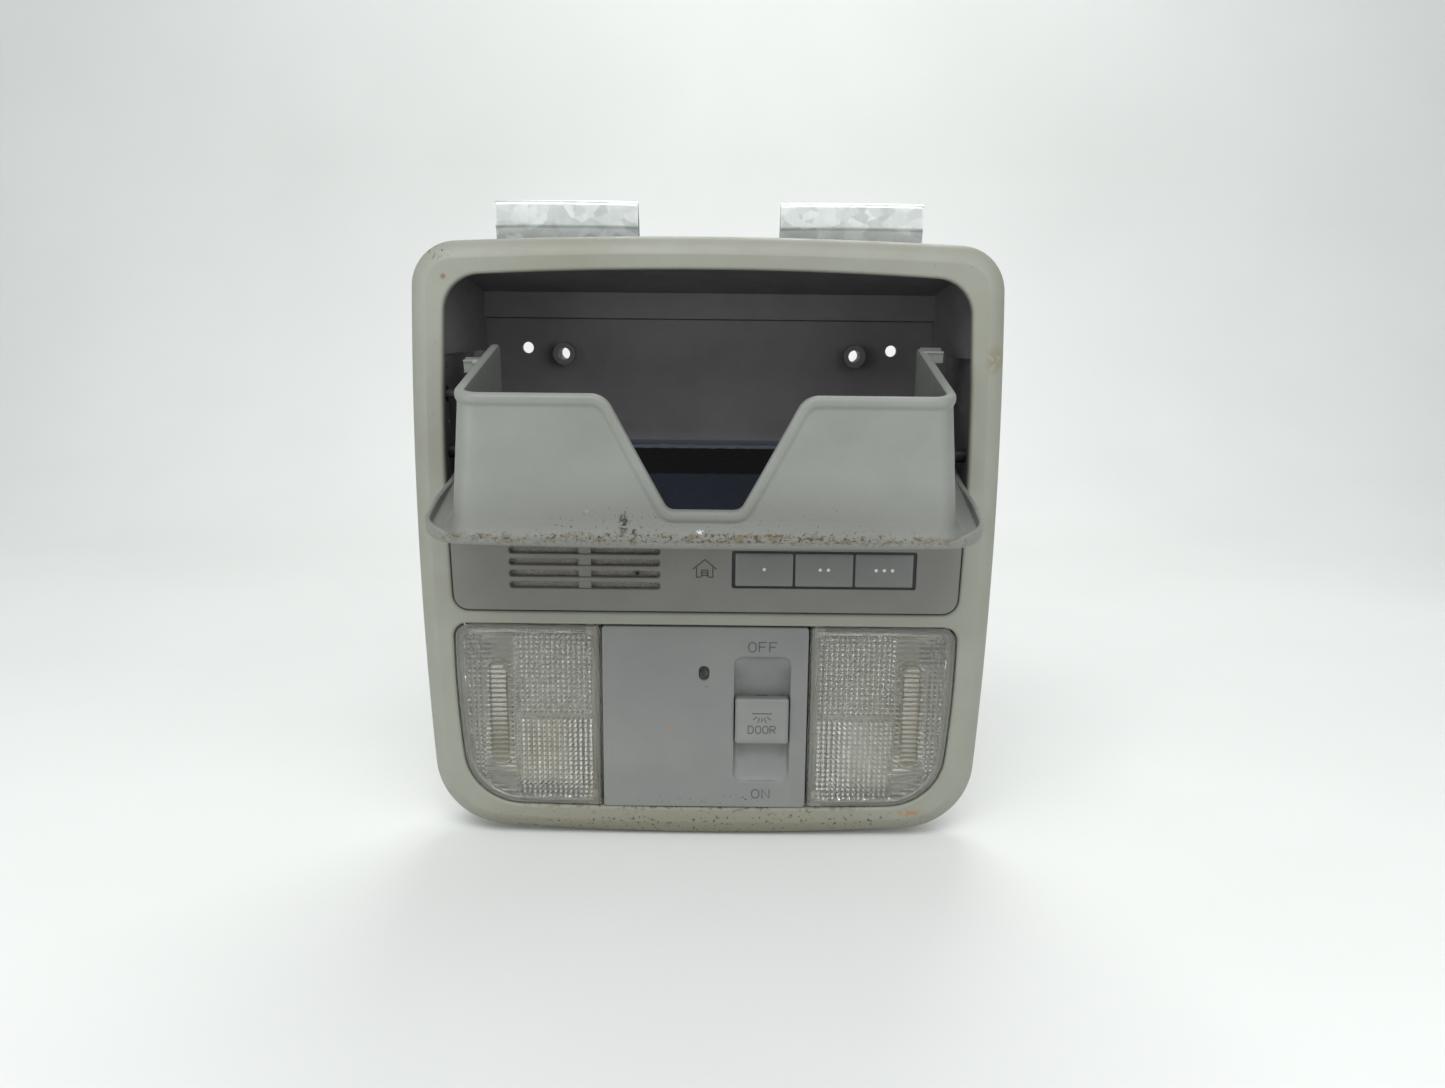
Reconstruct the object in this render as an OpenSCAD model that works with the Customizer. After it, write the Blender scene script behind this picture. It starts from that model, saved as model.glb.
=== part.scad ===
// Overhead console with a garage-door remote, a drop-down glasses holder and two map lights.
// Millimetres. X runs across the face, Y from the face to the roof, Z up the face.
// Every piece is drawn from the middle of the face and moved once by from_face(), which puts
// the origin midway between the two roof screws, on the plane that meets the roof.

/* [Face] */
// Half width of the bezel at its upper corners
bezel_top_half = 100.4; // [100:0.1:101]
// Half width of the bezel at its lower corners
bezel_low_half = 98.7; // [98.2:0.1:99.2]
// Height of the upper corners above the middle of the face
bezel_top = 99.2; // [98.5:0.1:100]
// Depth of the lower corners below the middle of the face
bezel_low = 111; // [110.5:0.1:112]
// Depth of the bezel's side wall
bezel_depth = 14; // [12.5:0.5:15]
// Thickness of the bezel's skin
skin = 2.6; // [2.4:0.1:2.8]

/* [Glasses holder] */
// Distance from the face back to the hinge axis
hinge_y = 10; // [9.5:0.1:10.5]
// Height of the hinge axis
hinge_z = 28; // [27.5:0.1:28.5]
// Angle that the open door has turned from closed
door_open = 102; // [96:1:104]
// Height of the door's lower edge when closed
door_low = 3; // [2.8:0.1:3.5]
// Depth of the pocket, from the face to its rim
pocket_depth = 45; // [43:0.5:45]
// Half width of the pocket where it meets the door
pocket_half = 79.7; // [79:0.1:80]
// Half width of the pocket at its rim
rim_half = 76.5; // [76:0.1:77]
// Wall of the pocket
pocket_wall = 2.2; // [2:0.1:2.4]
// Half width of the nose notch at its bottom
notch_half = 11.2; // [10:0.1:12]

/* [Remote buttons] */
// Width of one button
button_w = 20.5; // [20:0.1:20.7]
// Height of one button
button_h = 11.8; // [11:0.1:12]
// Distance from one button to the next
button_pitch = 21.3; // [21.3:0.1:21.6]
// Place of the middle button across the face
button_x = 42; // [41:0.5:43]
// Height of the row of buttons and of the grille
row_z = -12.2; // [-12.6:0.1:-12]

/* [Lamps] */
// Half width of the panel between the lenses
centre_half = 37.3; // [37:0.1:37.5]
// Height of the slide knob at its middle stop
knob_z = -68.7; // [-69:0.1:-68.5]
// Place of the slide knob across the face
knob_x = 20.8; // [20.5:0.1:21]
// Width of the slide knob
knob_w = 19.6; // [19:0.1:19.8]

/* [Roof fixing] */
// Distance from the face to the roof plane
roof_y = 58; // [57:0.5:60]
// Height of the roof screws above the middle of the face
screw_z = 61; // [60.5:0.5:61.5]
// Distance between the two roof screws
screw_gap = 111; // [110:0.5:112]
// Distance between the two locating holes
locator_gap = 140; // [139:0.5:141]
// Width of each spring clip
clip_w = 50; // [48:0.5:51]

/* [Hidden] */
$fn = 48;

wall = 2;
far = 200;
hinge = [hinge_y, hinge_z];
bay_half = 91.6;
bay_back_half = 85.5;
bay_back = 51;
bay_floor = 0.4;
bay_top = 91.2;
taper_z = 62;
flange_y = 9;
boss_r = 2.4;
bay_bosses = [[96, 70], [96.8, -14]];
lamp_bosses = [[96.8, -40], [45, -108.6]];
housing_bosses = concat(bay_bosses, lamp_bosses);
screw_r = 1.2;
screw_clear_r = 1.6;
pin_r = 2.5;
pin_hole_r = 2.56;
gear_module = 1;
sector_teeth = 30;
pinion_teeth = 10;
sector_teeth_cut = 11;
gear_gap = gear_module * (sector_teeth + pinion_teeth) / 2;
pinion_at = [hinge_y, hinge_z + gear_gap];
gear_x = -85.2;
panel_y = 0.3;
gear_w = 3.2;
channel_r = 62.5;
channel_depth = 5.2;
channel_w = 20.6;
lens_hinge = [41.5, 7.5];
bulb_at = [72, -68];
map_switch_at = [84, -44];
clip_x = 50;
rivet_dx = [-18, 18];
rivet_y = 15;
rivet_r = 1.55;
damper_dz = [-10, 10];
damper_screw_r = 1.15;
damper_ear_x = -95.2;
lens_axle_r = 1.3;
lens_bore_r = 1.36;
socket_at = [0, -54];

// ---- frames and small helpers ----

module from_face() {
    translate([0, -roof_y, -screw_z]) children();
}

// A flat shape in X and Z, made solid from y0 back to y1
module slab(y0, y1) {
    translate([0, y1, 0]) rotate([90, 0, 0]) linear_extrude(y1 - y0) children();
}

// A flat shape in Y and Z, made solid from x0 to x1
module across(x0, x1) {
    translate([x0, 0, 0]) rotate([90, 0, 90]) linear_extrude(x1 - x0) children();
}

// A flat shape in X and Y, made solid from z0 up to z1
module upright(z0, z1) {
    translate([0, 0, z0]) linear_extrude(z1 - z0) children();
}

// A round rod along X, Y or Z
module rod_x(x0, x1, r, at) {
    translate([x0, at[0], at[1]]) rotate([0, 90, 0]) cylinder(h = x1 - x0, r = r);
}

module rod_y(y0, y1, r, at) {
    translate([at[0], y1, at[1]]) rotate([90, 0, 0]) cylinder(h = y1 - y0, r = r);
}

module rod_z(z0, z1, r, at) {
    translate([at[0], at[1], z0]) cylinder(h = z1 - z0, r = r);
}

module box(low, high) {
    translate(low) cube(high - low);
}

// The same piece on both sides of the middle
module both_sides() {
    children();
    mirror([1, 0, 0]) children();
}

// A rectangle in two directions about a point, with rounded corners
module pad(at, size, r) {
    translate(at) offset(r = r) square([size[0] - 2 * r, size[1] - 2 * r], center = true);
}

// Points from p to q along a shallow curve that stands out by bulge at its middle
function crown(p, q, bulge, n = 10) = [for (i = [0 : n - 1]) let (t = i / n, d = q - p)
    p + d * t + 4 * bulge * t * (1 - t) * [d[1], -d[0]] / norm(d)];

// A symmetric outline with a top and a bottom corner, whose sides are crowned
module crowned(top, low, bulge_top, bulge_side, bulge_low) {
    polygon(concat(
        crown([low[0], low[1]], [top[0], top[1]], bulge_side),
        crown([top[0], top[1]], [-top[0], top[1]], bulge_top),
        crown([-top[0], top[1]], [-low[0], low[1]], bulge_side),
        crown([-low[0], low[1]], [low[0], low[1]], bulge_low)));
}

// Rounds the corners above and below the split by different radii
module round_corners(top_r, low_r, split) {
    intersection() {
        offset(r = top_r) offset(delta = -top_r) children();
        translate([-far, split]) square([2 * far, far]);
    }
    intersection() {
        offset(r = low_r) offset(delta = -low_r) children();
        translate([-far, split - far]) square([2 * far, far]);
    }
}

module bezel_outline(inset) {
    offset(delta = -inset) round_corners(16, 27, 0)
        crowned([bezel_top_half, bezel_top], [bezel_low_half, -bezel_low], 2.9, 3.3, 4.3);
}

module upper_opening(inset) {
    offset(delta = -inset) round_corners(13, 6, 30)
        crowned([88.9, 88.2], [90.3, -28.4], 2.8, 1.4, 0);
}

module lower_opening(inset) {
    offset(delta = -inset) round_corners(5, 22, -65)
        crowned([90.6, -33], [86.3, -102], 0, 1.4, 1.4);
}

// What lies above or below a height
module above(z) {
    intersection() {
        children();
        translate([-far, z]) square([2 * far, 2 * far]);
    }
}

module below(z) {
    intersection() {
        children();
        translate([-far, z - 2 * far]) square([2 * far, 2 * far]);
    }
}

// Turns the closed door about its hinge into the open pose
module open_door() {
    translate([0, hinge_y, hinge_z]) rotate([door_open, 0, 0])
        translate([0, -hinge_y, -hinge_z]) children();
}

// ---- bezel and housings ----

module bezel() {
    // Depth and inset of each step of the rounded front edge
    steps = [[0, 6], [0.6, 3.4], [1.8, 1.4], [4, 0.2]];
    edge_y = 6;
    thick_edge = 4.4;
    color("#a3a497") from_face() difference() {
        union() {
            difference() {
                hull() {
                    for (step = steps) slab(step[0], step[0] + 0.1) bezel_outline(step[1]);
                    slab(edge_y, bezel_depth) bezel_outline(0);
                }
                slab(skin, edge_y + 0.1) bezel_outline(thick_edge);
                slab(edge_y, bezel_depth + 1) bezel_outline(skin);
                slab(-1, skin + 1) upper_opening(0);
                slab(-1, skin + 1) lower_opening(0);
            }
            // The bosses that the housing screws turn into
            both_sides() for (at = housing_bosses) rod_y(skin - 0.1, flange_y, boss_r, at);
        }
        both_sides() for (at = housing_bosses) rod_y(skin + 1.4, flange_y + 1, screw_r, at);
    }
}

// Inner space of the bay, grown all round by g
module bay_space(g) {
    intersection() {
        slab(2, 60) bezel_outline(6.8 - g);
        across(-far, far) polygon([[2.8, bay_floor - g], [bay_back + g, bay_floor - g],
            [bay_back + g, 74], [48.5 + g, 74.5], [48.5 + g, 84 + g], [20, bay_top + g],
            [2.8, bay_top + g]]);
        union() {
            upright(-20, taper_z) translate([-bay_half - g, 0]) square([2 * (bay_half + g), far]);
            upright(taper_z - 0.1, 120) polygon([[-bay_half - g, 0], [bay_half + g, 0],
                [bay_back_half + g, bay_back + g], [-bay_back_half - g, bay_back + g]]);
        }
    }
}

module bay_housing() {
    tube_y = 46;
    tube_bore = 4.2;
    tube_r = 6;
    damper_room = 13.6;
    color("#3c3c40") from_face() difference() {
        union() {
            bay_space(wall);
            slab(flange_y, flange_y + wall) above(-22) bezel_outline(3.2);
            // Tubes that reach from inside the bay to the roof
            both_sides() {
                rod_y(tube_y, roof_y, tube_bore, [screw_gap / 2, screw_z]);
                rod_y(bay_back, roof_y, tube_r, [screw_gap / 2, screw_z]);
            }
        }
        difference() {
            bay_space(0);
            both_sides() rod_y(tube_y, bay_back + 1, tube_bore, [screw_gap / 2, screw_z]);
        }
        // The flange is open below the bay, where the remote sits
        slab(flange_y - 1, flange_y + wall + 1) translate([-89.5, -60]) square([179, 58.4]);
        both_sides() {
            rod_y(40, roof_y + 1, 2.3, [screw_gap / 2, screw_z]);
            rod_y(40, roof_y + 1, 2.15, [locator_gap / 2, screw_z + 2]);
            for (at = bay_bosses) rod_y(flange_y - 1, flange_y + wall + 1, screw_clear_r, at);
            rod_x(bay_half - 1, bay_half + wall + 1, pin_hole_r, hinge);
            for (dx = rivet_dx)
                rod_z(bay_top - 1, bay_top + wall + 1, rivet_r, [clip_x + dx, rivet_y]);
        }
        // The damper's shaft and screws on the left, and the gap in the flange beside it
        rod_x(-bay_half - wall - 1, -bay_half + 1, 3, pinion_at);
        for (dz = damper_dz)
            rod_x(-bay_half - wall - 1, -bay_half + 1, damper_screw_r, pinion_at + [0, dz]);
        box([-far, flange_y - 1, pinion_at[1] - damper_room],
            [-bay_half - wall, flange_y + wall + 1, pinion_at[1] + damper_room]);
    }
}

module lamp_housing() {
    color("#c9c9c2") from_face() difference() {
        union() {
            slab(5, 34) lower_opening(-2.6);
            slab(flange_y, flange_y + wall) below(-31.4) bezel_outline(3.2);
        }
        difference() {
            slab(4, 32) lower_opening(-0.6);
            both_sides() {
                // Partition beside each lens, and the two lugs that its hinge turns in
                box([38.6, 12, -106], [40.2, 33, -31]);
                box([39.8, 5.7, -38.6], [43.4, 13, -31]);
                box([39.8, 5.7, -106], [43.4, 13, -98.4]);
                // Post behind each map-light switch
                box([map_switch_at[0] - 3, 17, map_switch_at[1] - 3],
                    [map_switch_at[0] + 3, 33, map_switch_at[1] + 3]);
            }
        }
        both_sides() {
            rod_z(-110, -25, lens_bore_r, lens_hinge);
            for (at = lamp_bosses) rod_y(flange_y - 1, flange_y + wall + 1, screw_clear_r, at);
            // Cooling slots behind each bulb
            for (i = [0 : 4]) slab(31, 35) pad([60 + 5 * i, -88], [2.4, 14], 1.1);
        }
        // Passage for the socket's pins
        slab(31, 35) pad(socket_at, [22, 6], 0.5);
    }
}

// ---- glasses holder ----

module door_outline(inset) {
    offset(delta = -inset) offset(r = 1.5) offset(delta = -1.5) above(door_low) upper_opening(0.6);
}

module door_panel() {
    color("#9ca098") from_face() open_door() difference() {
        hull() {
            slab(0, 0.01) door_outline(1.3);
            slab(0.5, 0.51) door_outline(0.4);
            slab(1.3, 5) door_outline(0);
        }
        slab(wall, 6) door_outline(1.8);
    }
}

// The pocket's outer form, tapering from the door to its rim, shrunk by g
module pocket_form(g, low) {
    hull() {
        slab(wall, wall + 0.01) translate([0, (82.3 - g + low) / 2])
            pad([0, 0], [2 * (pocket_half - g), 82.3 - g - low], 8 - g);
        slab(pocket_depth - 0.01, pocket_depth) translate([0, (75.5 - g + low) / 2])
            pad([0, 0], [2 * (rim_half - g), 75.5 - g - low], 7 - g);
    }
}

// The front wall seen square on: rounded shoulders and a notch for a nose bridge
module wall_face() {
    notch_low = 10.5;
    flare = 0.567;
    rise = pocket_depth + 5 - notch_low;
    offset(r = 8) offset(delta = -8) offset(r = -3.5) offset(delta = 3.5) difference() {
        translate([-far / 2, -30]) square([far, 30 + pocket_depth]);
        translate([0, notch_low]) polygon([[-notch_half, 0], [notch_half, 0],
            [notch_half + flare * rise, rise], [-notch_half - flare * rise, rise]]);
    }
}

module door_tray() {
    bead = 3.4;
    color("#a6aaa2") from_face() open_door() difference() {
        union() {
            intersection() {
                union() {
                    pocket_form(0, -20);
                    // Bead along the rim and down both sides of the notch
                    intersection() {
                        pocket_form(-0.9, -20);
                        union() {
                            slab(pocket_depth - bead, pocket_depth) square(2 * far, center = true);
                            upright(60, 95) intersection() {
                                difference() {
                                    wall_face();
                                    offset(delta = -bead) wall_face();
                                }
                                translate([-45, 0]) square([90, 60]);
                            }
                        }
                    }
                }
                across(-far, far) polygon([[wall, 6], [26.7, 7.1], [pocket_depth, 12.5],
                    [pocket_depth, 95], [wall, 95]]);
            }
            // Bosses that hold the hinge pins
            both_sides() rod_x(77.2, 81.8, 5, hinge);
            // Striker at the tip of the right wall, and the stop lug on the left one
            box([75.5, 41.6, 13.6], [82.2, pocket_depth - 0.2, 19]);
            box([-86, 37, 22.5], [-76.8, 42, 26]);
            rod_x(-80.5, -76, 1.2, [42.5, 30]);
        }
        intersection() {
            pocket_form(pocket_wall, -30);
            slab(4, far) square(2 * far, center = true);
        }
        upright(60, 95) difference() {
            translate([-40, 5]) square([80, 45]);
            wall_face();
        }
        both_sides() rod_x(74, 83, pin_r, hinge);
    }
}

module felt_pad() {
    color("#262b38") from_face() open_door() slab(4, 5.4) pad([0, 43], [148, 66], 6);
}

module hinge_pins() {
    color("#b9bcc0") from_face() open_door() both_sides() rod_x(77, 94.4, pin_r, hinge);
}

// A spur gear or part of one, with straight-sided teeth thinned for backlash
module gear(teeth, first, count, r_bore) {
    r = gear_module * teeth / 2;
    r_root = r - 1.2 * gear_module;
    r_tip = r + 0.85 * gear_module;
    difference() {
        union() {
            if (count == teeth) circle(r_root);
            for (i = [0 : count - 1]) rotate(first + i * 360 / teeth)
                polygon([[r_root - 0.5, -0.8], [r, -0.62], [r_tip, -0.28],
                    [r_tip, 0.28], [r, 0.62], [r_root - 0.5, 0.8]]);
            if (count < teeth) circle(6);
            if (count < teeth) intersection() {
                circle(r_root);
                polygon(concat([[0, 0]], [for (i = [-0.5 : count - 0.5])
                    2 * r * [cos(first + i * 360 / teeth), sin(first + i * 360 / teeth)]]));
            }
        }
        if (r_bore > 0) circle(r_bore);
    }
}

module gear_sector() {
    // The first tooth space faces the pinion when the door is closed and turned open
    first = 90 - door_open - 12 - 6;
    color("#e8e6dc") from_face() open_door() across(gear_x, gear_x + gear_w)
        translate(hinge) gear(sector_teeth, first, sector_teeth_cut, pin_r);
}

module damper_pinion() {
    color("#f0eee6") from_face() {
        // One tooth points straight down at the sector
        across(gear_x - 0.4, gear_x + gear_w + 0.4) translate(pinion_at)
            gear(pinion_teeth, -90, pinion_teeth, 0);
        rod_x(-95.5, gear_x, 1.5, pinion_at);
    }
}

module damper_body() {
    can_r = 7;
    can_x = -97.2;
    color("#202124") from_face() difference() {
        union() {
            rod_x(can_x, -bay_half - wall, can_r, pinion_at);
            across(damper_ear_x, -bay_half - wall) pad(pinion_at, [6.4, 26], 3);
        }
        rod_x(can_x + 1.2, -90, 1.56, pinion_at);
        for (dz = damper_dz) rod_x(can_x - 1, -90, damper_screw_r, pinion_at + [0, dz]);
    }
}

module damper_screws() {
    head_r = 2.1;
    head = 1.3;
    color("#8b8e90") from_face() for (dz = damper_dz) {
        rod_x(damper_ear_x - head, damper_ear_x, head_r, pinion_at + [0, dz]);
        rod_x(damper_ear_x, -bay_half + 0.2, damper_screw_r, pinion_at + [0, dz]);
    }
}

// Round wire along a path whose points each carry a place and an outward direction
module wire(path, r, sides) {
    rings = len(path);
    points = [for (p = path, k = [0 : sides - 1])
        p[0] + r * (cos(360 * k / sides) * p[1] + sin(360 * k / sides) * [1, 0, 0])];
    skin_faces = [for (i = [0 : rings - 2], k = [0 : sides - 1]) let (n = (k + 1) % sides)
        [i * sides + k, i * sides + n, (i + 1) * sides + n, (i + 1) * sides + k]];
    cap = [for (k = [0 : sides - 1]) k];
    polyhedron(points, concat([[for (k = cap) sides - 1 - k]], skin_faces,
        [[for (k = cap) (rings - 1) * sides + k]]));
}

module door_spring() {
    turns = 4;
    steps = 16;
    coil_r = 4.7;
    x0 = 84;
    x1 = 87.6;
    centre = [0, hinge_y, hinge_z];
    coil = [for (i = [steps / 4 : turns * steps]) let (a = 360 * i / steps, out = [0, cos(a), sin(a)])
        [centre + [x0 + (x1 - x0) * i / (turns * steps), 0, 0] + coil_r * out, out]];
    leg_in = [[centre + [x0, 9, coil_r], [0, 0, 1]]];
    leg_out = [[centre + [x1, coil_r, 11], [0, 1, 0]]];
    color("#a9adb0") from_face() wire(concat(leg_in, coil, leg_out), 0.45, 6);
}

module door_latch() {
    color("#1f1f22") from_face() difference() {
        box([78.6, 40, bay_floor], [86.8, bay_back, 9.4]);
        box([80.2, 42, 4], [85.2, 47.5, 10]);
    }
}

// ---- garage remote ----

module middle_panel() {
    panel_top = 1.5;
    rib_top = -2.2;
    rib = 1.6;
    slot = [24, 2.2];
    slot_pitch = 4.2;
    color("#75746f") from_face() difference() {
        union() {
            slab(panel_y, 2.6) below(panel_top) upper_opening(0.4);
            // Rib round the back
            slab(2.5, 5) difference() {
                below(rib_top) upper_opening(1.2);
                below(rib_top - rib) upper_opening(1.2 + rib);
            }
        }
        // Grille of two columns of slots
        for (x = [-57.2, -28.3], i = [-1.5 : 1.5])
            slab(-1, 4) pad([x, row_z + slot_pitch * i], slot, 1);
        slab(-1, 4) pad([button_x, row_z], [3 * button_pitch + 1.6, button_h + 1.8], 0.8);
    }
}

module grille_mesh() {
    color("#17171a") from_face() slab(2.6, 3.1) pad([-42.8, row_z], [58, 16.4], 1);
}

module microphone() {
    color("#9a9c9c") from_face() rod_y(3.2, 8.4, 3, [-24.4, row_z - 2]);
}

// The dark frame that shows as a line around each button
module button_frame() {
    color("#232325") from_face() difference() {
        union() {
            slab(0.9, 3.6) pad([button_x, row_z], [3 * button_pitch + 1.4, button_h + 1.6], 0.7);
            slab(2.7, 3.6) pad([button_x, row_z], [3 * button_pitch + 8, button_h + 4.6], 1);
        }
        for (i = [-1 : 1])
            slab(0, 5) pad([button_x + i * button_pitch, row_z], [button_w + 0.3, button_h + 0.4], 0.5);
    }
}

module button(i) {
    at = [button_x + (i - 2) * button_pitch, row_z];
    color("#7d7f7e") from_face() {
        slab(0.4, 4.1) pad(at, [button_w, button_h], 0.5);
        slab(0, 0.41) pad(at, [button_w - 0.8, button_h - 0.8], 0.5);
        // Flange that keeps the button behind the frame
        slab(4, 5) pad(at, [button_w + 0.4, button_h + 2], 0.5);
    }
}

module button_1() {
    button(1);
}

module button_2() {
    button(2);
}

module button_3() {
    button(3);
}

module keypad_membrane() {
    color("#50565c") from_face() {
        slab(7.6, 8.6) pad([button_x, row_z], [3 * button_pitch + 6, 15], 2);
        for (i = [-1 : 1]) rod_y(6.2, 7.7, 3.5, [button_x + i * button_pitch, row_z]);
    }
}

module transmitter_board() {
    color("#2c5a3a") from_face() slab(8.7, 10.3) pad([0, -15.7], [168, 22], 1);
}

module radio_module() {
    color("#c2c4c4") from_face() {
        box([8, 10.3, row_z - 9], [34, 13.6, row_z + 7]);
        box([42, 10.3, row_z - 7], [54, 12, row_z + 5]);
    }
}

module transmitter_cover() {
    color("#303034") from_face() difference() {
        slab(5.4, 17) pad([0, -15.7], [177, 26.6], 3);
        slab(5, 15.4) pad([0, -15.7], [173.8, 23.4], 2);
    }
}

// ---- lamps and switch ----

// The dished channel that the knob slides in, grown by g
module channel(g) {
    intersection() {
        across(knob_x - channel_w / 2 - g, knob_x + channel_w / 2 + g)
            translate([channel_depth - channel_r, knob_z]) circle(channel_r + g, $fn = 240);
        box([0, -1, knob_z - 40], [far, far, knob_z + 40]);
    }
}

module centre_panel() {
    color("#808388") from_face() difference() {
        union() {
            slab(panel_y, 2.7) translate([-centre_half, -103.1]) square([2 * centre_half, 69.6]);
            slab(2.6, 6) difference() {
                translate([-centre_half + 0.8, -102.3]) square([2 * centre_half - 1.6, 68]);
                translate([-centre_half + 2.6, -100.5]) square([2 * centre_half - 5.2, 64.4]);
            }
            difference() {
                channel(1.6);
                box([0, -2, knob_z - 40], [far, 1.5, knob_z + 40]);
            }
        }
        channel(0);
        // Slot for the knob's stem, and the hole for the ambient light
        slab(3, 9) pad([knob_x, knob_z], [5.4, 22], 1);
        slab(0, 4) pad([-0.4, -51], [3.6, 5.2], 1.75);
    }
}

module slide_knob() {
    color("#8c9094") from_face() {
        slab(-1.9, 3.1) pad([knob_x, knob_z], [knob_w, 17.6], 1.2);
        slab(3, 9.6) pad([knob_x, knob_z], [3.6, 9], 0.5);
    }
}

module slide_switch() {
    color("#26262a") from_face() difference() {
        box([knob_x - 7, 8.4, knob_z - 16], [knob_x + 7, 14, knob_z + 16]);
        box([knob_x - 2.4, 8, knob_z - 12], [knob_x + 2.4, 11, knob_z + 12]);
    }
}

module lamp_board() {
    color("#2a5738") from_face() slab(14, 15.6) pad([0, -68.5], [72, 62], 1);
}

module ambient_led() {
    color("#e9e2b8") from_face() box([-2.2, 12.4, -52.6], [1.4, 14, -49.4]);
}

module led_pipe() {
    color("#dfe4e6") from_face() {
        slab(1.4, 3.1) pad([-0.4, -51], [3.2, 4.8], 1.55);
        rod_y(3, 12.2, 1.5, [-0.4, -51]);
    }
}

module lens_outline(inset) {
    offset(delta = -inset) intersection() {
        lower_opening(0.5);
        translate([centre_half + 1, -far]) square([far, 2 * far]);
    }
}

// The right-hand lens: a tray with a finger pad, a switch post and a hinge along its inner edge
module lens() {
    finger_pad = [9, 41];
    arm_half = 1;
    difference() {
        slab(panel_y, 5.2) lens_outline(0);
        slab(panel_y + wall, 6) lens_outline(1.8);
    }
    slab(-0.4, panel_y + 0.01) pad([74.8, -66.5], finger_pad, 4.4);
    rod_y(2.2, 8, 1.5, map_switch_at);
    rod_z(-102.4, -34.8, lens_axle_r, lens_hinge);
    for (z = [-94, -70, -46])
        box([lens_hinge[0] - arm_half, 2.2, z], [lens_hinge[0] + arm_half, lens_hinge[1], z + 4]);
}

module lens_right() {
    color("#dfe3e0", 0.6) from_face() lens();
}

module lens_left() {
    color("#dfe3e0", 0.6) from_face() mirror([1, 0, 0]) lens();
}

// The right-hand reflector: a dished shell with a flat border
module reflector() {
    dish = [66, -22, -68];
    r = 46;
    difference() {
        intersection() {
            union() {
                slab(10.5, 12) square(2 * far, center = true);
                translate(dish) sphere(r + 1.5, $fn = 96);
            }
            slab(10.5, 31) intersection() {
                lens_outline(2.4);
                translate([44.6, -far]) square([far, 2 * far]);
            }
        }
        translate(dish) sphere(r, $fn = 96);
        rod_y(0, 40, 4.5, bulb_at);
        box([map_switch_at[0] - 4.2, 0, map_switch_at[1] - 4.2],
            [map_switch_at[0] + 4.2, 40, map_switch_at[1] + 4.2]);
    }
}

module reflector_right() {
    color("#cfd2d3") from_face() reflector();
}

module reflector_left() {
    color("#cfd2d3") from_face() mirror([1, 0, 0]) reflector();
}

module bulb() {
    rod_y(15, 30, 3.2, bulb_at);
    translate([bulb_at[0], 15, bulb_at[1]]) sphere(3.2);
}

module bulb_right() {
    color("#e6e4d6", 0.7) from_face() bulb();
}

module bulb_left() {
    color("#e6e4d6", 0.7) from_face() mirror([1, 0, 0]) bulb();
}

module bulb_holders() {
    color("#d8d4c6") from_face() both_sides() difference() {
        rod_y(26.2, 32, 6, bulb_at);
        rod_y(26, 30, 3.25, bulb_at);
    }
}

module map_switches() {
    color("#1d1d20") from_face() both_sides() {
        box([map_switch_at[0] - 3, 12, map_switch_at[1] - 3],
            [map_switch_at[0] + 3, 17, map_switch_at[1] + 3]);
        rod_y(10.6, 12.1, 1.6, map_switch_at);
    }
}

module harness_socket() {
    color("#dcdad0") from_face() difference() {
        slab(34, 46) pad(socket_at, [30, 13], 1);
        slab(35.6, 47) pad(socket_at, [26.4, 9.6], 0.6);
        slab(33, 36) pad(socket_at, [22, 6], 0.5);
    }
}

module socket_pins() {
    color("#c8a95a") from_face() for (i = [-3.5 : 3.5], dz = [-1.6, 1.6])
        box([socket_at[0] + 2.5 * i - 0.35, 15.6, socket_at[1] + dz - 0.35],
            [socket_at[0] + 2.5 * i + 0.35, 39, socket_at[1] + dz + 0.35]);
}

// ---- roof clips and fasteners ----

function reversed(p) = [for (i = [len(p) - 1 : -1 : 0]) p[i]];

// One side of a strip of thickness 2h along the points p, with mitred bends
function strip_side(p, h) = [for (i = [0 : len(p) - 1]) let (
    a = p[max(i, 1)] - p[max(i, 1) - 1],
    b = p[min(i, len(p) - 2) + 1] - p[min(i, len(p) - 2)],
    na = [-a[1], a[0]] / norm(a),
    nb = [-b[1], b[0]] / norm(b)) p[i] + h * (na + nb) / (1 + na * nb)];

// Bent sheet steel: a foot on the housing, a face with a kink, and a sprung leg folded back
module spring_clip() {
    bends = [[11.4, 93.7], [20, 93.7], [21.6, 94.3], [22.4, 96], [22.4, 105.4], [21.2, 107],
        [20.8, 113], [21.6, 114.4], [23, 114.6], [26.6, 108], [29.4, 101.5], [28.6, 98.5]];
    difference() {
        translate([-clip_w / 2, 0, 0]) across(0, clip_w)
            polygon(concat(strip_side(bends, 0.45), reversed(strip_side(bends, -0.45))));
        for (dx = rivet_dx) rod_z(90, 96, rivet_r, [dx, rivet_y]);
    }
}

module clip_left() {
    color("#bcc2c2") from_face() translate([-clip_x, 0, 0]) spring_clip();
}

module clip_right() {
    color("#bcc2c2") from_face() translate([clip_x, 0, 0]) spring_clip();
}

module clip_rivets() {
    clip_top = 94.15;
    head_r = 2.9;
    color("#9a9ea0") from_face() both_sides() for (dx = rivet_dx) {
        rod_z(clip_top, clip_top + 1.15, head_r, [clip_x + dx, rivet_y]);
        rod_z(bay_top, clip_top + 0.05, rivet_r, [clip_x + dx, rivet_y]);
    }
}

module housing_screws() {
    head_r = 2.8;
    head = 1.8;
    color("#8b8e90") from_face() both_sides() for (at = housing_bosses) {
        rod_y(flange_y + wall, flange_y + wall + head, head_r, at);
        rod_y(skin + 1.6, flange_y + wall + 0.1, screw_r, at);
    }
}

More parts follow.
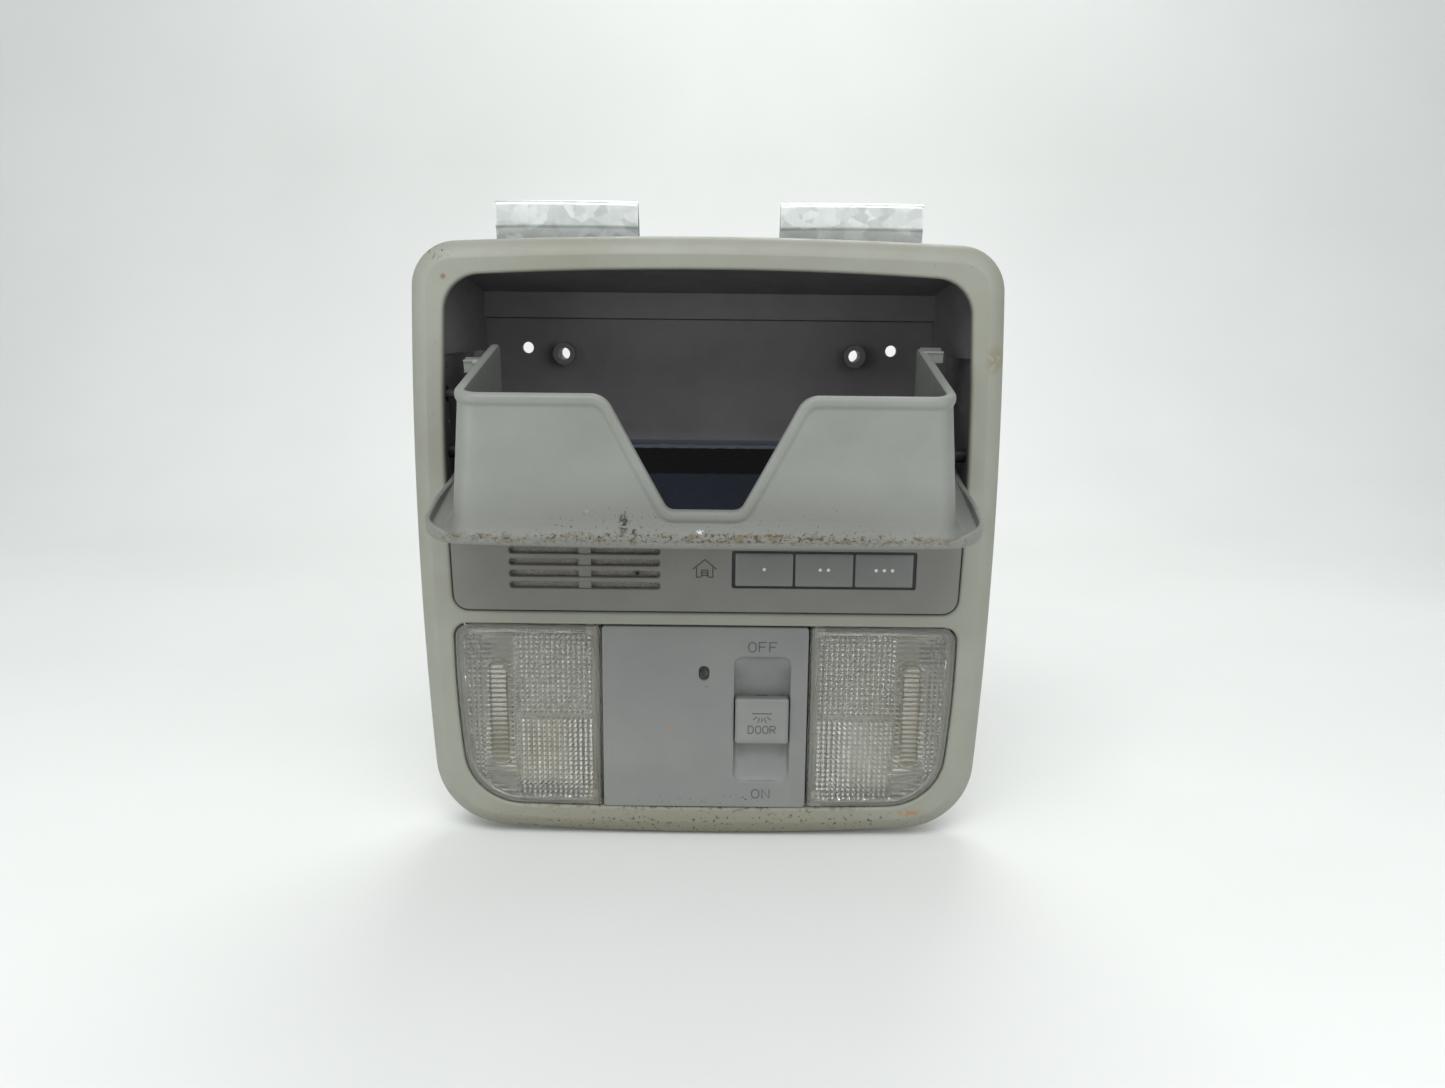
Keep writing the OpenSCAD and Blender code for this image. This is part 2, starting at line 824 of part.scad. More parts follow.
bezel();
bay_housing();
door_panel();
door_tray();
felt_pad();
hinge_pins();
gear_sector();
damper_pinion();
damper_body();
damper_screws();
door_spring();
door_latch();
middle_panel();
grille_mesh();
microphone();
button_frame();
button_1();
button_2();
button_3();
keypad_membrane();
transmitter_board();
radio_module();
transmitter_cover();
centre_panel();
slide_knob();
slide_switch();
lamp_board();
ambient_led();
led_pipe();
lens_left();
lens_right();
reflector_left();
reflector_right();
bulb_left();
bulb_right();
bulb_holders();
map_switches();
lamp_housing();
harness_socket();
socket_pins();
clip_left();
clip_right();
clip_rivets();
housing_screws();
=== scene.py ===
"""Looks of the overhead console: shells, lenses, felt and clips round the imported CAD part."""

import math

import bmesh
import bpy
from mathutils import Matrix, Vector
from mathutils.geometry import delaunay_2d_cdt


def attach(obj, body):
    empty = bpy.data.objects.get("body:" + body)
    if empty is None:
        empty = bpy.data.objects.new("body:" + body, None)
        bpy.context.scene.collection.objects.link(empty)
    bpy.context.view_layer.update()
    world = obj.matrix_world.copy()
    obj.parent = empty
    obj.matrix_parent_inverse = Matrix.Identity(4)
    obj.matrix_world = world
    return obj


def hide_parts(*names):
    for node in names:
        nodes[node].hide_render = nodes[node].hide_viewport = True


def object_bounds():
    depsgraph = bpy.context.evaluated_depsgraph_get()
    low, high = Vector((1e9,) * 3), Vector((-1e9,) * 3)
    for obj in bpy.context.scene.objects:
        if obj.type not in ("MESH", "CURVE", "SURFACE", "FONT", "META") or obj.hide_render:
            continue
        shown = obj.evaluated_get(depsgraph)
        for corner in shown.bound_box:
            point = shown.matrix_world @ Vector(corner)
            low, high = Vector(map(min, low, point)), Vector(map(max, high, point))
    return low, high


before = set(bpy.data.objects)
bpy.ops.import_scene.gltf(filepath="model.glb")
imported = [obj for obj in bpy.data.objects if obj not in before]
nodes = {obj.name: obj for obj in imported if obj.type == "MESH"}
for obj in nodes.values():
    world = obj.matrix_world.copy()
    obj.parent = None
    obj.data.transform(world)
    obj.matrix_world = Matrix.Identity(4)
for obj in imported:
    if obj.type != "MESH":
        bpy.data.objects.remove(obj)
cad_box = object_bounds()
scene = bpy.context.scene

# ---- places, in millimetres from the middle of the face, as in the CAD source ----

ROOF_Y, SCREW_Z = 58.0, 61.0
HINGE_Y, HINGE_Z, OPEN = 10.0, 28.0, math.radians(102)
ROW_Z, GRILLE_PITCH, BUTTON_X, BUTTON_PITCH = -12.2, 4.2, 42, 21.3
KNOB = (20.8, -68.7)
UPPER_LOW, UPPER_TOP, UPPER_HALF, UPPER_HALF_TOP, UPPER_BULGE = -28.4, 88.2, 90.3, 88.9, 1.4
PAD = (74.8, -66.5)


def P(x, y, z):
    """A point of the face frame, in millimetres, in the row frame, in metres."""
    return Vector((x, y - ROOF_Y, z - SCREW_Z)) / 1000


def D(x, y, z):
    """A point of the closed door, turned to its open pose and put in the row frame."""
    dy, dz = y - HINGE_Y, z - HINGE_Z
    c, s = math.cos(OPEN), math.sin(OPEN)
    return P(x, HINGE_Y + dy * c - dz * s, HINGE_Z + dy * s + dz * c)


def mirrored(place):
    return lambda x, y, z: place(-x, y, z)


# ---- outlines: lists of (x, z) going round anticlockwise ----


def crown(p, q, bulge, n=24):
    """From p to q along a shallow arc that stands out by bulge to the right."""
    dx, dz = q[0] - p[0], q[1] - p[1]
    long = math.hypot(dx, dz)
    made = []
    for t in (i / n for i in range(n + 1)):
        out = 4 * bulge * t * (1 - t) / long
        made.append((p[0] + dx * t + out * dz, p[1] + dz * t - out * dx))
    return made


def arc(cx, cz, rx, rz, start, end, n):
    """Points on an ellipse round (cx, cz), from one angle to another."""
    turns = (start + (end - start) * i / n for i in range(n + 1))
    return [(cx + rx * math.cos(t), cz + rz * math.sin(t)) for t in turns]


def between(p, q, t):
    return (p[0] + (q[0] - p[0]) * t, p[1] + (q[1] - p[1]) * t)


def clamped(value):
    return max(0.0, min(1.0, value))


def trimmed(line, cut):
    """The line without its first cut millimetres, with the direction it then starts in."""
    gone = 0.0
    for i in range(len(line) - 1):
        p, q = line[i], line[i + 1]
        step = math.dist(p, q)
        if gone + step > cut:
            way = ((q[0] - p[0]) / step, (q[1] - p[1]) / step)
            return [between(p, q, (cut - gone) / step)] + line[i + 1 :], way
        gone += step
    return line[-1:], (0.0, 0.0)


def corner(start, end, way, next_way, handle, steps):
    """Points on the curve that leaves start along one way and reaches end along the next."""
    p0, p3 = Vector(start), Vector(end)
    p1, p2 = p0 + Vector(way) * handle, p3 - Vector(next_way) * handle
    made = []
    for t in (k / steps for k in range(1, steps)):
        u = 1 - t
        q = u**3 * p0 + 3 * u**2 * t * p1 + 3 * u * t * t * p2 + t**3 * p3
        made.append((q.x, q.y))
    return made


def outline(sides, radii, steps=14):
    """A closed outline of curved sides, whose corner after side i is rounded by radii[i]."""
    count = len(sides)
    cuts = []
    for i in range(count):
        a, b = sides[i], sides[(i + 1) % count]
        turn = (Vector(a[-1]) - Vector(a[-2])).angle_signed(Vector(b[1]) - Vector(b[0]))
        cuts.append((abs(radii[i] * math.tan(turn / 2)), abs(turn)))
    ends = []
    for i in range(count):
        line, start_way = trimmed(sides[i], cuts[i - 1][0])
        back, end_way = trimmed(line[::-1], cuts[i][0])
        ends.append((back[::-1], start_way, (-end_way[0], -end_way[1])))
    out = []
    for i in range(count):
        line, _, way = ends[i]
        following, next_way, _ = ends[(i + 1) % count]
        handle = 4 / 3 * math.tan(cuts[i][1] / 4) * radii[i]
        out += line + corner(line[-1], following[0], way, next_way, handle, steps)
    return out


def inset(line, d, closed=True):
    """The line moved d to its left, which is inwards for an outline."""
    n = len(line)
    out = []
    for i in range(n):
        a = line[i - 1] if closed or i else line[0]
        b = line[(i + 1) % n] if closed or i < n - 1 else line[-1]
        here = line[i]
        u = Vector((here[0] - a[0], here[1] - a[1]))
        v = Vector((b[0] - here[0], b[1] - here[1]))
        u = u.normalized() if u.length > 1e-9 else v.normalized()
        v = v.normalized() if v.length > 1e-9 else u
        na, nb = Vector((-u.y, u.x)), Vector((-v.y, v.x))
        m = (na + nb) / max(1 + na.dot(nb), 0.4)
        out.append((here[0] + d * m.x, here[1] + d * m.y))
    return out


def rect(cx, cz, w, h, r, steps=6):
    """A rectangle round (cx, cz), with one radius or a list of four from the low right corner."""
    x0, x1, z0, z1 = cx - w / 2, cx + w / 2, cz - h / 2, cz + h / 2
    corners = [(x0, z0), (x1, z0), (x1, z1), (x0, z1)]
    sides = [[corners[i], corners[(i + 1) % 4]] for i in range(4)]
    return outline(sides, r if isinstance(r, list) else [r] * 4, steps)


def densified(line, step=1.0):
    """The closed line with extra points wherever two are further apart than step."""
    out = []
    for i, p in enumerate(line):
        q = line[(i + 1) % len(line)]
        n = max(1, round(math.dist(p, q) / step))
        out += [between(p, q, k / n) for k in range(n)]
    return out


def framed(low, top, bulges, radii, steps):
    """An outline from its low and top right corners, mirrored, whose sides, top and foot stand
    out by bulges."""
    side, over, under = bulges
    low_left, top_left = (-low[0], low[1]), (-top[0], top[1])
    head = crown(top, top_left, over) if over else [top, top_left]
    left = crown(top_left, low_left, side)
    return outline([crown(low, top, side), head, left, crown(low_left, low, under)], radii, steps)


def upper_opening(low=UPPER_LOW, low_r=6, d=0.0, top_r=13):
    """The glasses holder's opening, from its own foot or from a higher cut."""
    share = (low - UPPER_LOW) / (UPPER_TOP - UPPER_LOW)
    ends = (UPPER_HALF, UPPER_LOW), (UPPER_HALF_TOP, UPPER_TOP)
    right = crown(*ends, UPPER_BULGE, 60)[round(share * 60) :]
    right[0] = (right[0][0], low)
    left = [(-x, z) for x, z in right][::-1]
    top = crown(ends[1], (-UPPER_HALF_TOP, UPPER_TOP), 2.8, 60)
    made = outline([right, top, left, [left[-1], right[0]]], [top_r, top_r, low_r, low_r], 12)
    return inset(made, d) if d else made


# ---- mesh building ----


def linked(name, data):
    """A new object of the scene that holds the data."""
    made = bpy.data.objects.new(name, data)
    scene.collection.objects.link(made)
    return made


class Mesh:
    """Collects rings and faces in one bmesh; place() puts face points in the row frame."""

    def __init__(self, place=P):
        self.bm = bmesh.new()
        self.place = place
        self.flat_at = {}

    def ring(self, line, y):
        """Vertices along (x, z) points at depth y, which is a number or a function of x and z."""
        made = []
        for x, z in line:
            v = self.bm.verts.new(self.place(x, y(x, z) if callable(y) else y, z))
            self.flat_at[v] = Vector((x, z))
            made.append(v)
        return made

    def points(self, pts):
        return [self.bm.verts.new(self.place(*p)) for p in pts]

    def bridge(self, a, b, closed=True):
        n = len(a)
        for i in range(n if closed else n - 1):
            j = (i + 1) % n
            self.bm.faces.new((a[i], a[j], b[j], b[i]))

    def loft(self, rings, closed=True):
        for a, b in zip(rings, rings[1:]):
            self.bridge(a, b, closed)
        return rings

    def profile(self, line, steps):
        """Rings of one outline at (inset, depth) steps, joined in turn."""
        return self.loft([self.ring(inset(line, d), y) for d, y in steps])

    def bar(self, rows, closed):
        """A bar with one row of vertices along each of its edges, and end faces if it is open."""
        self.loft([*rows, rows[0]], closed)
        if not closed:
            self.bm.faces.new([row[0] for row in rows])
            self.bm.faces.new([row[-1] for row in rows][::-1])

    def flat(self, outer, holes=(), extra=()):
        """Fills outer with triangles round the holes, through the extra vertices."""
        loops = [outer, *holes]
        verts = [v for loop in loops for v in loop] + list(extra)
        edges, start = [], 0
        for loop in loops:
            edges += [(start + i, start + (i + 1) % len(loop)) for i in range(len(loop))]
            start += len(loop)
        pts = [self.flat_at[v] for v in verts]
        hole_lines = [[self.flat_at[v] for v in loop] for loop in holes]
        co, _, faces, source, _, _ = delaunay_2d_cdt(pts, edges, [], 1, 1e-7)
        for tri in faces:
            mid = sum((co[i] for i in tri), Vector((0, 0))) / len(tri)
            if any(inside(mid, h) for h in hole_lines) or not all(source[i] for i in tri):
                continue
            face = [verts[source[i][0]] for i in tri]
            if len(set(face)) == len(face) and not self.bm.faces.get(face):
                self.bm.faces.new(face)

    def scatter(self, grid, line, margin, depth):
        """Vertices at the points of a grid that lie more than margin inside a line."""
        loop = [Vector(p) for p in line]
        return self.ring([p for p in grid if well_inside(Vector(p), loop, margin)], depth)

    def cap(self, rings):
        self.flat(rings[0])
        self.flat(rings[-1])

    def block(self, low, high, r=0.25):
        """A small rounded block."""
        made = bmesh.ops.create_cube(self.bm, size=1.0)["verts"]
        a, b = Vector(low), Vector(high)
        for v in made:
            q = (a + b) / 2 + Vector((v.co[i] * (b - a)[i] for i in range(3)))
            v.co = self.place(*q)
        faces = {f for v in made for f in v.link_faces}
        edges = {e for v in made for e in v.link_edges}
        bmesh.ops.bevel(
            self.bm, geom=list(edges) + list(faces), offset=r / 1000, segments=3, affect="EDGES"
        )

    def rod(self, a, b, r, sides=32, chamfer=0.2):
        """A round bar from a to b with chamfered ends."""
        a, b = Vector(a), Vector(b)
        axis = (b - a).normalized()
        u = axis.orthogonal().normalized()
        v = axis.cross(u)
        ways = [c * u + k * v for c, k in arc(0, 0, 1, 1, 0, 2 * math.pi, sides)[:-1]]
        bevel = axis * chamfer
        stops = (a, r - chamfer), (a + bevel, r), (b - bevel, r), (b, r - chamfer)
        rings = self.loft([self.points([at + rad * way for way in ways]) for at, rad in stops])
        self.bm.faces.new(rings[0][::-1])
        self.bm.faces.new(rings[-1])

    def done(self, name, body, material, replaces=(), sharp=32):
        """Ends the mesh as a smooth-shaded piece with edges kept above the sharp angle."""
        bmesh.ops.recalc_face_normals(self.bm, faces=self.bm.faces)
        mesh = bpy.data.meshes.new(name)
        self.bm.to_mesh(mesh)
        self.bm.free()
        mesh.shade_smooth()
        mesh.set_sharp_from_angle(angle=math.radians(sharp))
        made = linked(name, mesh)
        mesh.materials.append(material)
        made.modifiers.new("even_shading", "WEIGHTED_NORMAL").keep_sharp = True
        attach(made, body)
        if replaces:
            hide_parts(*replaces)
        return made


def inside(p, loop):
    hit = False
    j = len(loop) - 1
    for i in range(len(loop)):
        a, b = loop[i], loop[j]
        if (a.y > p.y) != (b.y > p.y) and p.x < (b.x - a.x) * (p.y - a.y) / (b.y - a.y) + a.x:
            hit = not hit
        j = i
    return hit


def well_inside(p, loop, margin):
    return inside(p, loop) and min((p - q).length for q in loop) > margin


# ---- materials: every one is made of nodes in object space, in metres ----


def rgb(r, g, b):
    """An sRGB colour from 0 to 255 as the linear one that nodes take."""
    return tuple(
        c / 12.92 if c <= 0.04045 else ((c + 0.055) / 1.055) ** 2.4
        for c in (r / 255, g / 255, b / 255)
    ) + (1.0,)


class Mat:
    """A material with one Principled shader and short ways to add nodes."""

    def __init__(self, name, rough=0.5, metallic=0.0):
        self.material = bpy.data.materials.new(name)
        self.material.use_nodes = True
        self.tree = self.material.node_tree
        self.shader = self.tree.nodes["Principled BSDF"]
        self.where = self.add("ShaderNodeTexCoord").outputs["Object"]
        self.shade("Roughness", rough)
        self.shade("Metallic", metallic)

    def add(self, kind, **values):
        node = self.tree.nodes.new(kind)
        for key, value in values.items():
            self.put(node.inputs[key.replace("_", " ")], value)
        return node

    def put(self, socket, value):
        if isinstance(value, bpy.types.NodeSocket):
            self.tree.links.new(value, socket)
        else:
            socket.default_value = value

    def shade(self, key, value):
        self.put(self.shader.inputs[key], value)

    def at(self, stretch):
        """The place in the object, scaled by stretch if there is one."""
        if not stretch:
            return self.where
        return self.add("ShaderNodeMapping", Vector=self.where, Scale=stretch).outputs["Vector"]

    def noise(self, scale, detail=3.0, rough=0.55, stretch=None, distortion=0.0):
        values = {"Scale": scale, "Detail": detail, "Roughness": rough, "Distortion": distortion}
        return self.add("ShaderNodeTexNoise", Vector=self.at(stretch), **values).outputs["Fac"]

    def cells(self, scale, stretch=None, feature="F1", out="Distance"):
        node = self.add("ShaderNodeTexVoronoi", Vector=self.at(stretch))
        node.feature = feature
        node.inputs["Scale"].default_value = scale
        return node.outputs[out]

    def ramp(self, fac, low, high, a=0.0, b=1.0):
        """fac from low to high, as a value from a to b."""
        values = {"From_Min": low, "From_Max": high, "To_Min": a, "To_Max": b}
        return self.add("ShaderNodeMapRange", Value=fac, **values).outputs["Result"]

    def math(self, kind, a, b=0.0):
        node = self.add("ShaderNodeMath")
        node.operation = kind
        self.put(node.inputs[0], a)
        self.put(node.inputs[1], b)
        return node.outputs[0]

    def mix(self, fac, a, b):
        node = self.add("ShaderNodeMix")
        node.data_type = "RGBA"
        # The colour sockets of a mix node are its seventh and eighth
        for socket, value in ((0, fac), (6, a), (7, b)):
            self.put(node.inputs[socket], value)
        return node.outputs[2]

    def bump(self, height, distance, strength=1.0):
        node = self.add("ShaderNodeBump", Height=height, Distance=distance, Strength=strength)
        before = self.shader.inputs["Normal"].links
        if before:
            self.put(node.inputs["Normal"], before[0].from_socket)
        self.shade("Normal", node.outputs["Normal"])

    def near(self, centre, radii):
        """1 at a row-frame point in metres, falling to 0 at radii from it."""
        at = self.where
        for kind, by in (("SUBTRACT", centre), ("DIVIDE", radii), ("LENGTH", (0, 0, 0))):
            node = self.add("ShaderNodeVectorMath")
            node.operation = kind
            self.put(node.inputs[0], at)
            self.put(node.inputs[1], by)
            at = node.outputs[0]
        return self.ramp(node.outputs["Value"], 0.45, 1.0, 1.0, 0.0)


def moulded(name, base, shift, rough=0.5, grain=0.00003, dirt=None, marks=()):
    """Moulded plastic: mottled colour, fine grain, fingers' shine, and dirt where asked for.
    dirt is (colour, share of the surface, size of a speck in metres); marks are (centre, radii,
    colour, share, size)."""
    m = Mat(name, rough)
    m.shade("Specular IOR Level", 0.42)
    broad = m.noise(28, 4, 0.6)
    colour = m.mix(m.ramp(broad, 0.3, 0.7), base, shift)
    smudge = m.noise(75, 5, 0.65, stretch=(1.0, 1.0, 2.2))
    rough_value = m.ramp(smudge, 0.35, 0.7, rough - 0.09, rough + 0.09)
    spots = list(marks)
    if dirt:
        spots.append((None, None, *dirt))
    for centre, radii, tint, share, size in spots:
        speck = m.noise(1 / size, 3, 0.6)
        mask = m.ramp(speck, 0.72 - 0.4 * share, 0.76 - 0.4 * share)
        if centre is not None:
            mask = m.math("MULTIPLY", mask, m.near(centre, radii))
        colour = m.mix(m.math("MULTIPLY", mask, 0.85), colour, tint)
        rough_value = m.math("ADD", rough_value, m.math("MULTIPLY", mask, 0.2))
    m.shade("Base Color", colour)
    m.shade("Roughness", rough_value)
    m.bump(m.cells(2400), grain, 0.55)
    m.bump(m.noise(260, 3), grain * 1.6, 0.35)
    return m.material


def steel(name, base, rough, brushed=(1, 1, 1), bright=1.25):
    """Bare or plated metal with drawn lines and small scratches."""
    m = Mat(name, rough, 1.0)
    lines = m.noise(900, 4, 0.6, stretch=brushed)
    tint = tuple(min(1.0, c * bright) for c in base[:3]) + (1.0,)
    m.shade("Base Color", m.mix(m.ramp(lines, 0.35, 0.65), base, tint))
    m.shade("Roughness", m.ramp(m.noise(120, 4), 0.3, 0.7, rough - 0.1, rough + 0.12))
    m.bump(lines, 0.00002, 0.5)
    return m.material


def spangled(name):
    """Hot-dip galvanised sheet: flat crystals a few millimetres across, each with its own tone."""
    m = Mat(name, 0.42, 0.5)
    warp = m.noise(160, 2)
    crystal = m.cells(230, stretch=(1.0, 1.0, 1.4), out="Color")
    tone = m.add("ShaderNodeSeparateColor", Color=crystal).outputs["Red"]
    shade = m.mix(m.ramp(tone, 0.0, 1.0), rgb(205, 210, 207), rgb(222, 226, 223))
    streak = m.ramp(m.noise(420, 4, 0.6, stretch=(1.0, 1.0, 0.25)), 0.35, 0.7)
    shade = m.mix(m.math("MULTIPLY", streak, 0.25), shade, rgb(182, 189, 188))
    m.shade("Base Color", m.mix(m.ramp(warp, 0.62, 0.75, 0.0, 0.25), shade, rgb(128, 132, 128)))
    m.shade("Roughness", m.ramp(tone, 0.0, 1.0, 0.3, 0.52))
    m.bump(tone, 0.00002, 0.4)
    m.bump(m.noise(900, 3), 0.00001, 0.5)
    return m.material


def felt_cloth(name):
    m = Mat(name, 0.95)
    m.shade("Sheen Weight", 0.02)
    m.shade("Sheen Roughness", 0.6)
    m.shade("Specular IOR Level", 0.05)
    fibre = m.noise(2600, 5, 0.75, distortion=1.5)
    patch = m.noise(60, 3)
    base = m.mix(m.ramp(fibre, 0.3, 0.7), rgb(17, 19, 26), rgb(42, 46, 58))
    lint = m.ramp(m.noise(900, 3), 0.7, 0.74)
    base = m.mix(m.math("MULTIPLY", lint, 0.3), base, rgb(96, 96, 96))
    base = m.mix(m.ramp(patch, 0.4, 0.7, 0.0, 0.3), base, rgb(34, 39, 46))
    # Painted shade: the rear third is darkened nearly black where shadow falls, and painted light:
    # its turned-up edge is made lighter as if lit from above
    depth = m.add("ShaderNodeSeparateXYZ", Vector=m.where).outputs["Y"]
    base = m.mix(m.ramp(depth, -0.0554, -0.0549, 0.0, 0.96), base, rgb(6, 6, 7))
    m.shade("Base Color", m.mix(m.ramp(depth, -0.0291, -0.0285), base, rgb(82, 86, 94)))
    m.bump(fibre, 0.00035, 0.9)
    return m.material


def clear_plastic(name, base, rough=0.1, through=1.0):
    """Clear or milky moulded acrylic with hairline scratches and dust."""
    m = Mat(name, rough)
    m.shade("Transmission Weight", through)
    m.shade("IOR", 1.49)
    dust = m.ramp(m.noise(700, 4, 0.7), 0.5, 0.8)
    stain = m.ramp(m.noise(45, 4, 0.6), 0.45, 0.75)
    colour = m.mix(m.math("MULTIPLY", stain, 0.5), base, rgb(205, 196, 176))
    m.shade("Base Color", m.mix(m.math("MULTIPLY", dust, 0.2), colour, rgb(170, 170, 164)))
    m.shade("Roughness", m.ramp(dust, 0.0, 1.0, rough, rough + 0.1))
    m.bump(m.noise(1500, 3), 0.000008, 0.4)
    return m.material


def circuit(name):
    """A green board: mask over copper tracks, and bright solder pads."""
    m = Mat(name, 0.35)
    tracks = m.ramp(m.cells(260, stretch=(1.0, 0.1, 1.0), feature="DISTANCE_TO_EDGE"), 0.03, 0.06)
    pads = m.ramp(m.cells(420, stretch=(1.0, 0.1, 1.0)), 0.16, 0.2)
    green = m.mix(tracks, rgb(58, 118, 66), rgb(24, 74, 40))
    m.shade("Base Color", m.mix(pads, rgb(196, 196, 190), green))
    m.shade("Metallic", m.math("SUBTRACT", 1.0, pads))
    m.bump(tracks, 0.00004, 0.6)
    return m.material


def woven_mesh(name):
    m = Mat(name, 0.7)
    wires = m.cells(1700, stretch=(1.0, 0.1, 1.0), feature="DISTANCE_TO_EDGE")
    m.shade("Base Color", m.mix(m.ramp(wires, 0.05, 0.2), rgb(138, 134, 129), rgb(86, 84, 81)))
    m.shade("Roughness", m.ramp(m.noise(300), 0.3, 0.7, 0.55, 0.8))
    m.bump(wires, 0.0001, 0.8)
    return m.material


def lining(name):
    """The bright, slightly aged lining of a lamp's reflector."""
    m = Mat(name, 0.3, 0.25)
    tone = m.ramp(m.noise(60, 4), 0.3, 0.7)
    m.shade("Base Color", m.mix(tone, rgb(206, 205, 198), rgb(186, 183, 172)))
    m.shade("Roughness", m.ramp(m.noise(200), 0.3, 0.7, 0.25, 0.4))
    m.bump(m.noise(500), 0.00003, 0.4)
    return m.material


def paint(name, base, rough=0.6):
    """Printed ink, slightly worn."""
    m = Mat(name, rough)
    worn = m.ramp(m.noise(1800, 4, 0.7), 0.55, 0.75)
    dim = tuple(c * 0.72 for c in base[:3]) + (1.0,)
    m.shade("Base Color", m.mix(worn, base, dim))
    m.shade("Roughness", m.ramp(m.noise(600), 0.3, 0.7, rough - 0.1, rough + 0.15))
    m.bump(m.noise(3000, 3), 0.00001, 0.4)
    return m.material


BROWN, DARK = rgb(86, 72, 52), rgb(40, 36, 30)

bezel_plastic = moulded(
    "bezel_plastic", rgb(142, 144, 134), rgb(133, 134, 122), 0.5,
    dirt=(rgb(126, 122, 106), 0.0, 0.0035),
    marks=[
        (P(0, 2, -118), (0.13, 0.03, 0.02), rgb(120, 117, 101), 1.2, 0.006),
        (P(-40, 0, -112), (0.06, 0.02, 0.0085), rgb(70, 56, 40), 0.31, 0.0014),
        (P(40, 0, -111), (0.07, 0.02, 0.0095), DARK, 0.29, 0.0014),
        (P(0, 3, -103), (0.09, 0.006, 0.0022), BROWN, 0.45, 0.0022),
        (P(76, 0, -104.6), (0.007, 0.02, 0.0012), rgb(150, 114, 76), 0.7, 0.003),
        (P(-92, 0, 97), (0.008, 0.02, 0.004), DARK, 0.35, 0.0012),
        (P(98, 3, 62), (0.004, 0.02, 0.006), rgb(128, 122, 100), 0.7, 0.003),
        (P(-89, 0, 88), (0.0012, 0.01, 0.0012), rgb(126, 88, 78), 1.0, 0.002),
    ],
)
door_plastic = moulded(
    "door_plastic", rgb(133, 136, 131), rgb(122, 125, 119), 0.46,
    marks=[
        (D(0, 2, 84), (0.12, 0.02, 0.022), rgb(113, 115, 109), 1.2, 0.01),
        (D(0, 2.4, 87.5), (0.13, 0.0036, 0.0022), rgb(104, 96, 78), 0.5, 0.0032),
        (D(-8, 2.5, 87.5), (0.1, 0.0036, 0.0026), rgb(58, 48, 36), 0.42, 0.0012),
        (D(40, 3, 87), (0.05, 0.004, 0.003), BROWN, 0.36, 0.0011),
        (D(-26, 6, 84), (0.04, 0.01, 0.0075), DARK, 0.2, 0.0009),
        (D(30, 8, 83), (0.05, 0.01, 0.009), BROWN, 0.17, 0.0009),
        (D(-24.8, 6.2, 83), (0.0021, 0.009, 0.0042), rgb(26, 23, 20), 0.72, 0.0011),
        (D(-21.6, 3.6, 83), (0.0016, 0.009, 0.0012), rgb(30, 27, 22), 0.7, 0.001),
        (D(-1.2, 3.8, 83), (0.0014, 0.01, 0.0009), rgb(222, 224, 222), 0.7, 0.001),
        (D(-80, 34, 70), (0.003, 0.02, 0.018), DARK, 0.25, 0.0011),
    ],
)
bay_plastic = moulded("bay_plastic", rgb(106, 104, 105), rgb(92, 90, 91), 0.55, grain=0.00004)
panel_plastic = moulded("panel_plastic", rgb(117, 116, 111), rgb(108, 107, 102), 0.5)
button_plastic = moulded("button_plastic", rgb(113, 114, 112), rgb(104, 106, 104), 0.42)
centre_plastic = moulded(
    "centre_plastic", rgb(126, 127, 125), rgb(117, 118, 117), 0.45,
    marks=[
        (P(0, 0.3, -100), (0.05, 0.01, 0.003), DARK, 0.2, 0.0011),
        (P(-13, 0.3, -72), (0.0016, 0.01, 0.0013), rgb(142, 118, 88), 0.7, 0.0016),
        (P(0.5, 0.3, -56), (0.0012, 0.01, 0.0008), rgb(120, 112, 88), 0.8, 0.002),
        (P(31, 0.3, -86), (0.0007, 0.01, 0.012), rgb(136, 126, 104), 0.6, 0.002),
    ],
)
knob_plastic = moulded(
    "knob_plastic", rgb(131, 133, 129), rgb(121, 123, 120), 0.42,
    marks=[(P(29, 0, -77), (0.003, 0.01, 0.001), rgb(146, 132, 104), 0.6, 0.0016)],
)
black_plastic = moulded("black_plastic", rgb(30, 30, 32), rgb(38, 38, 40), 0.45)
ink_dark = paint("ink_dark", rgb(62, 62, 62))
ink_light = paint("ink_light", rgb(206, 208, 204))
engraved = paint("engraved", rgb(84, 86, 87), 0.6)
galvanised = spangled("galvanised")
felt = felt_cloth("felt")
lens_clear = clear_plastic("clear_lens", rgb(233, 234, 227), 0.05, 0.9)
grip_plastic = clear_plastic("lens_grip", rgb(182, 180, 166), 0.1, 0.72)


# ---- bezel ----


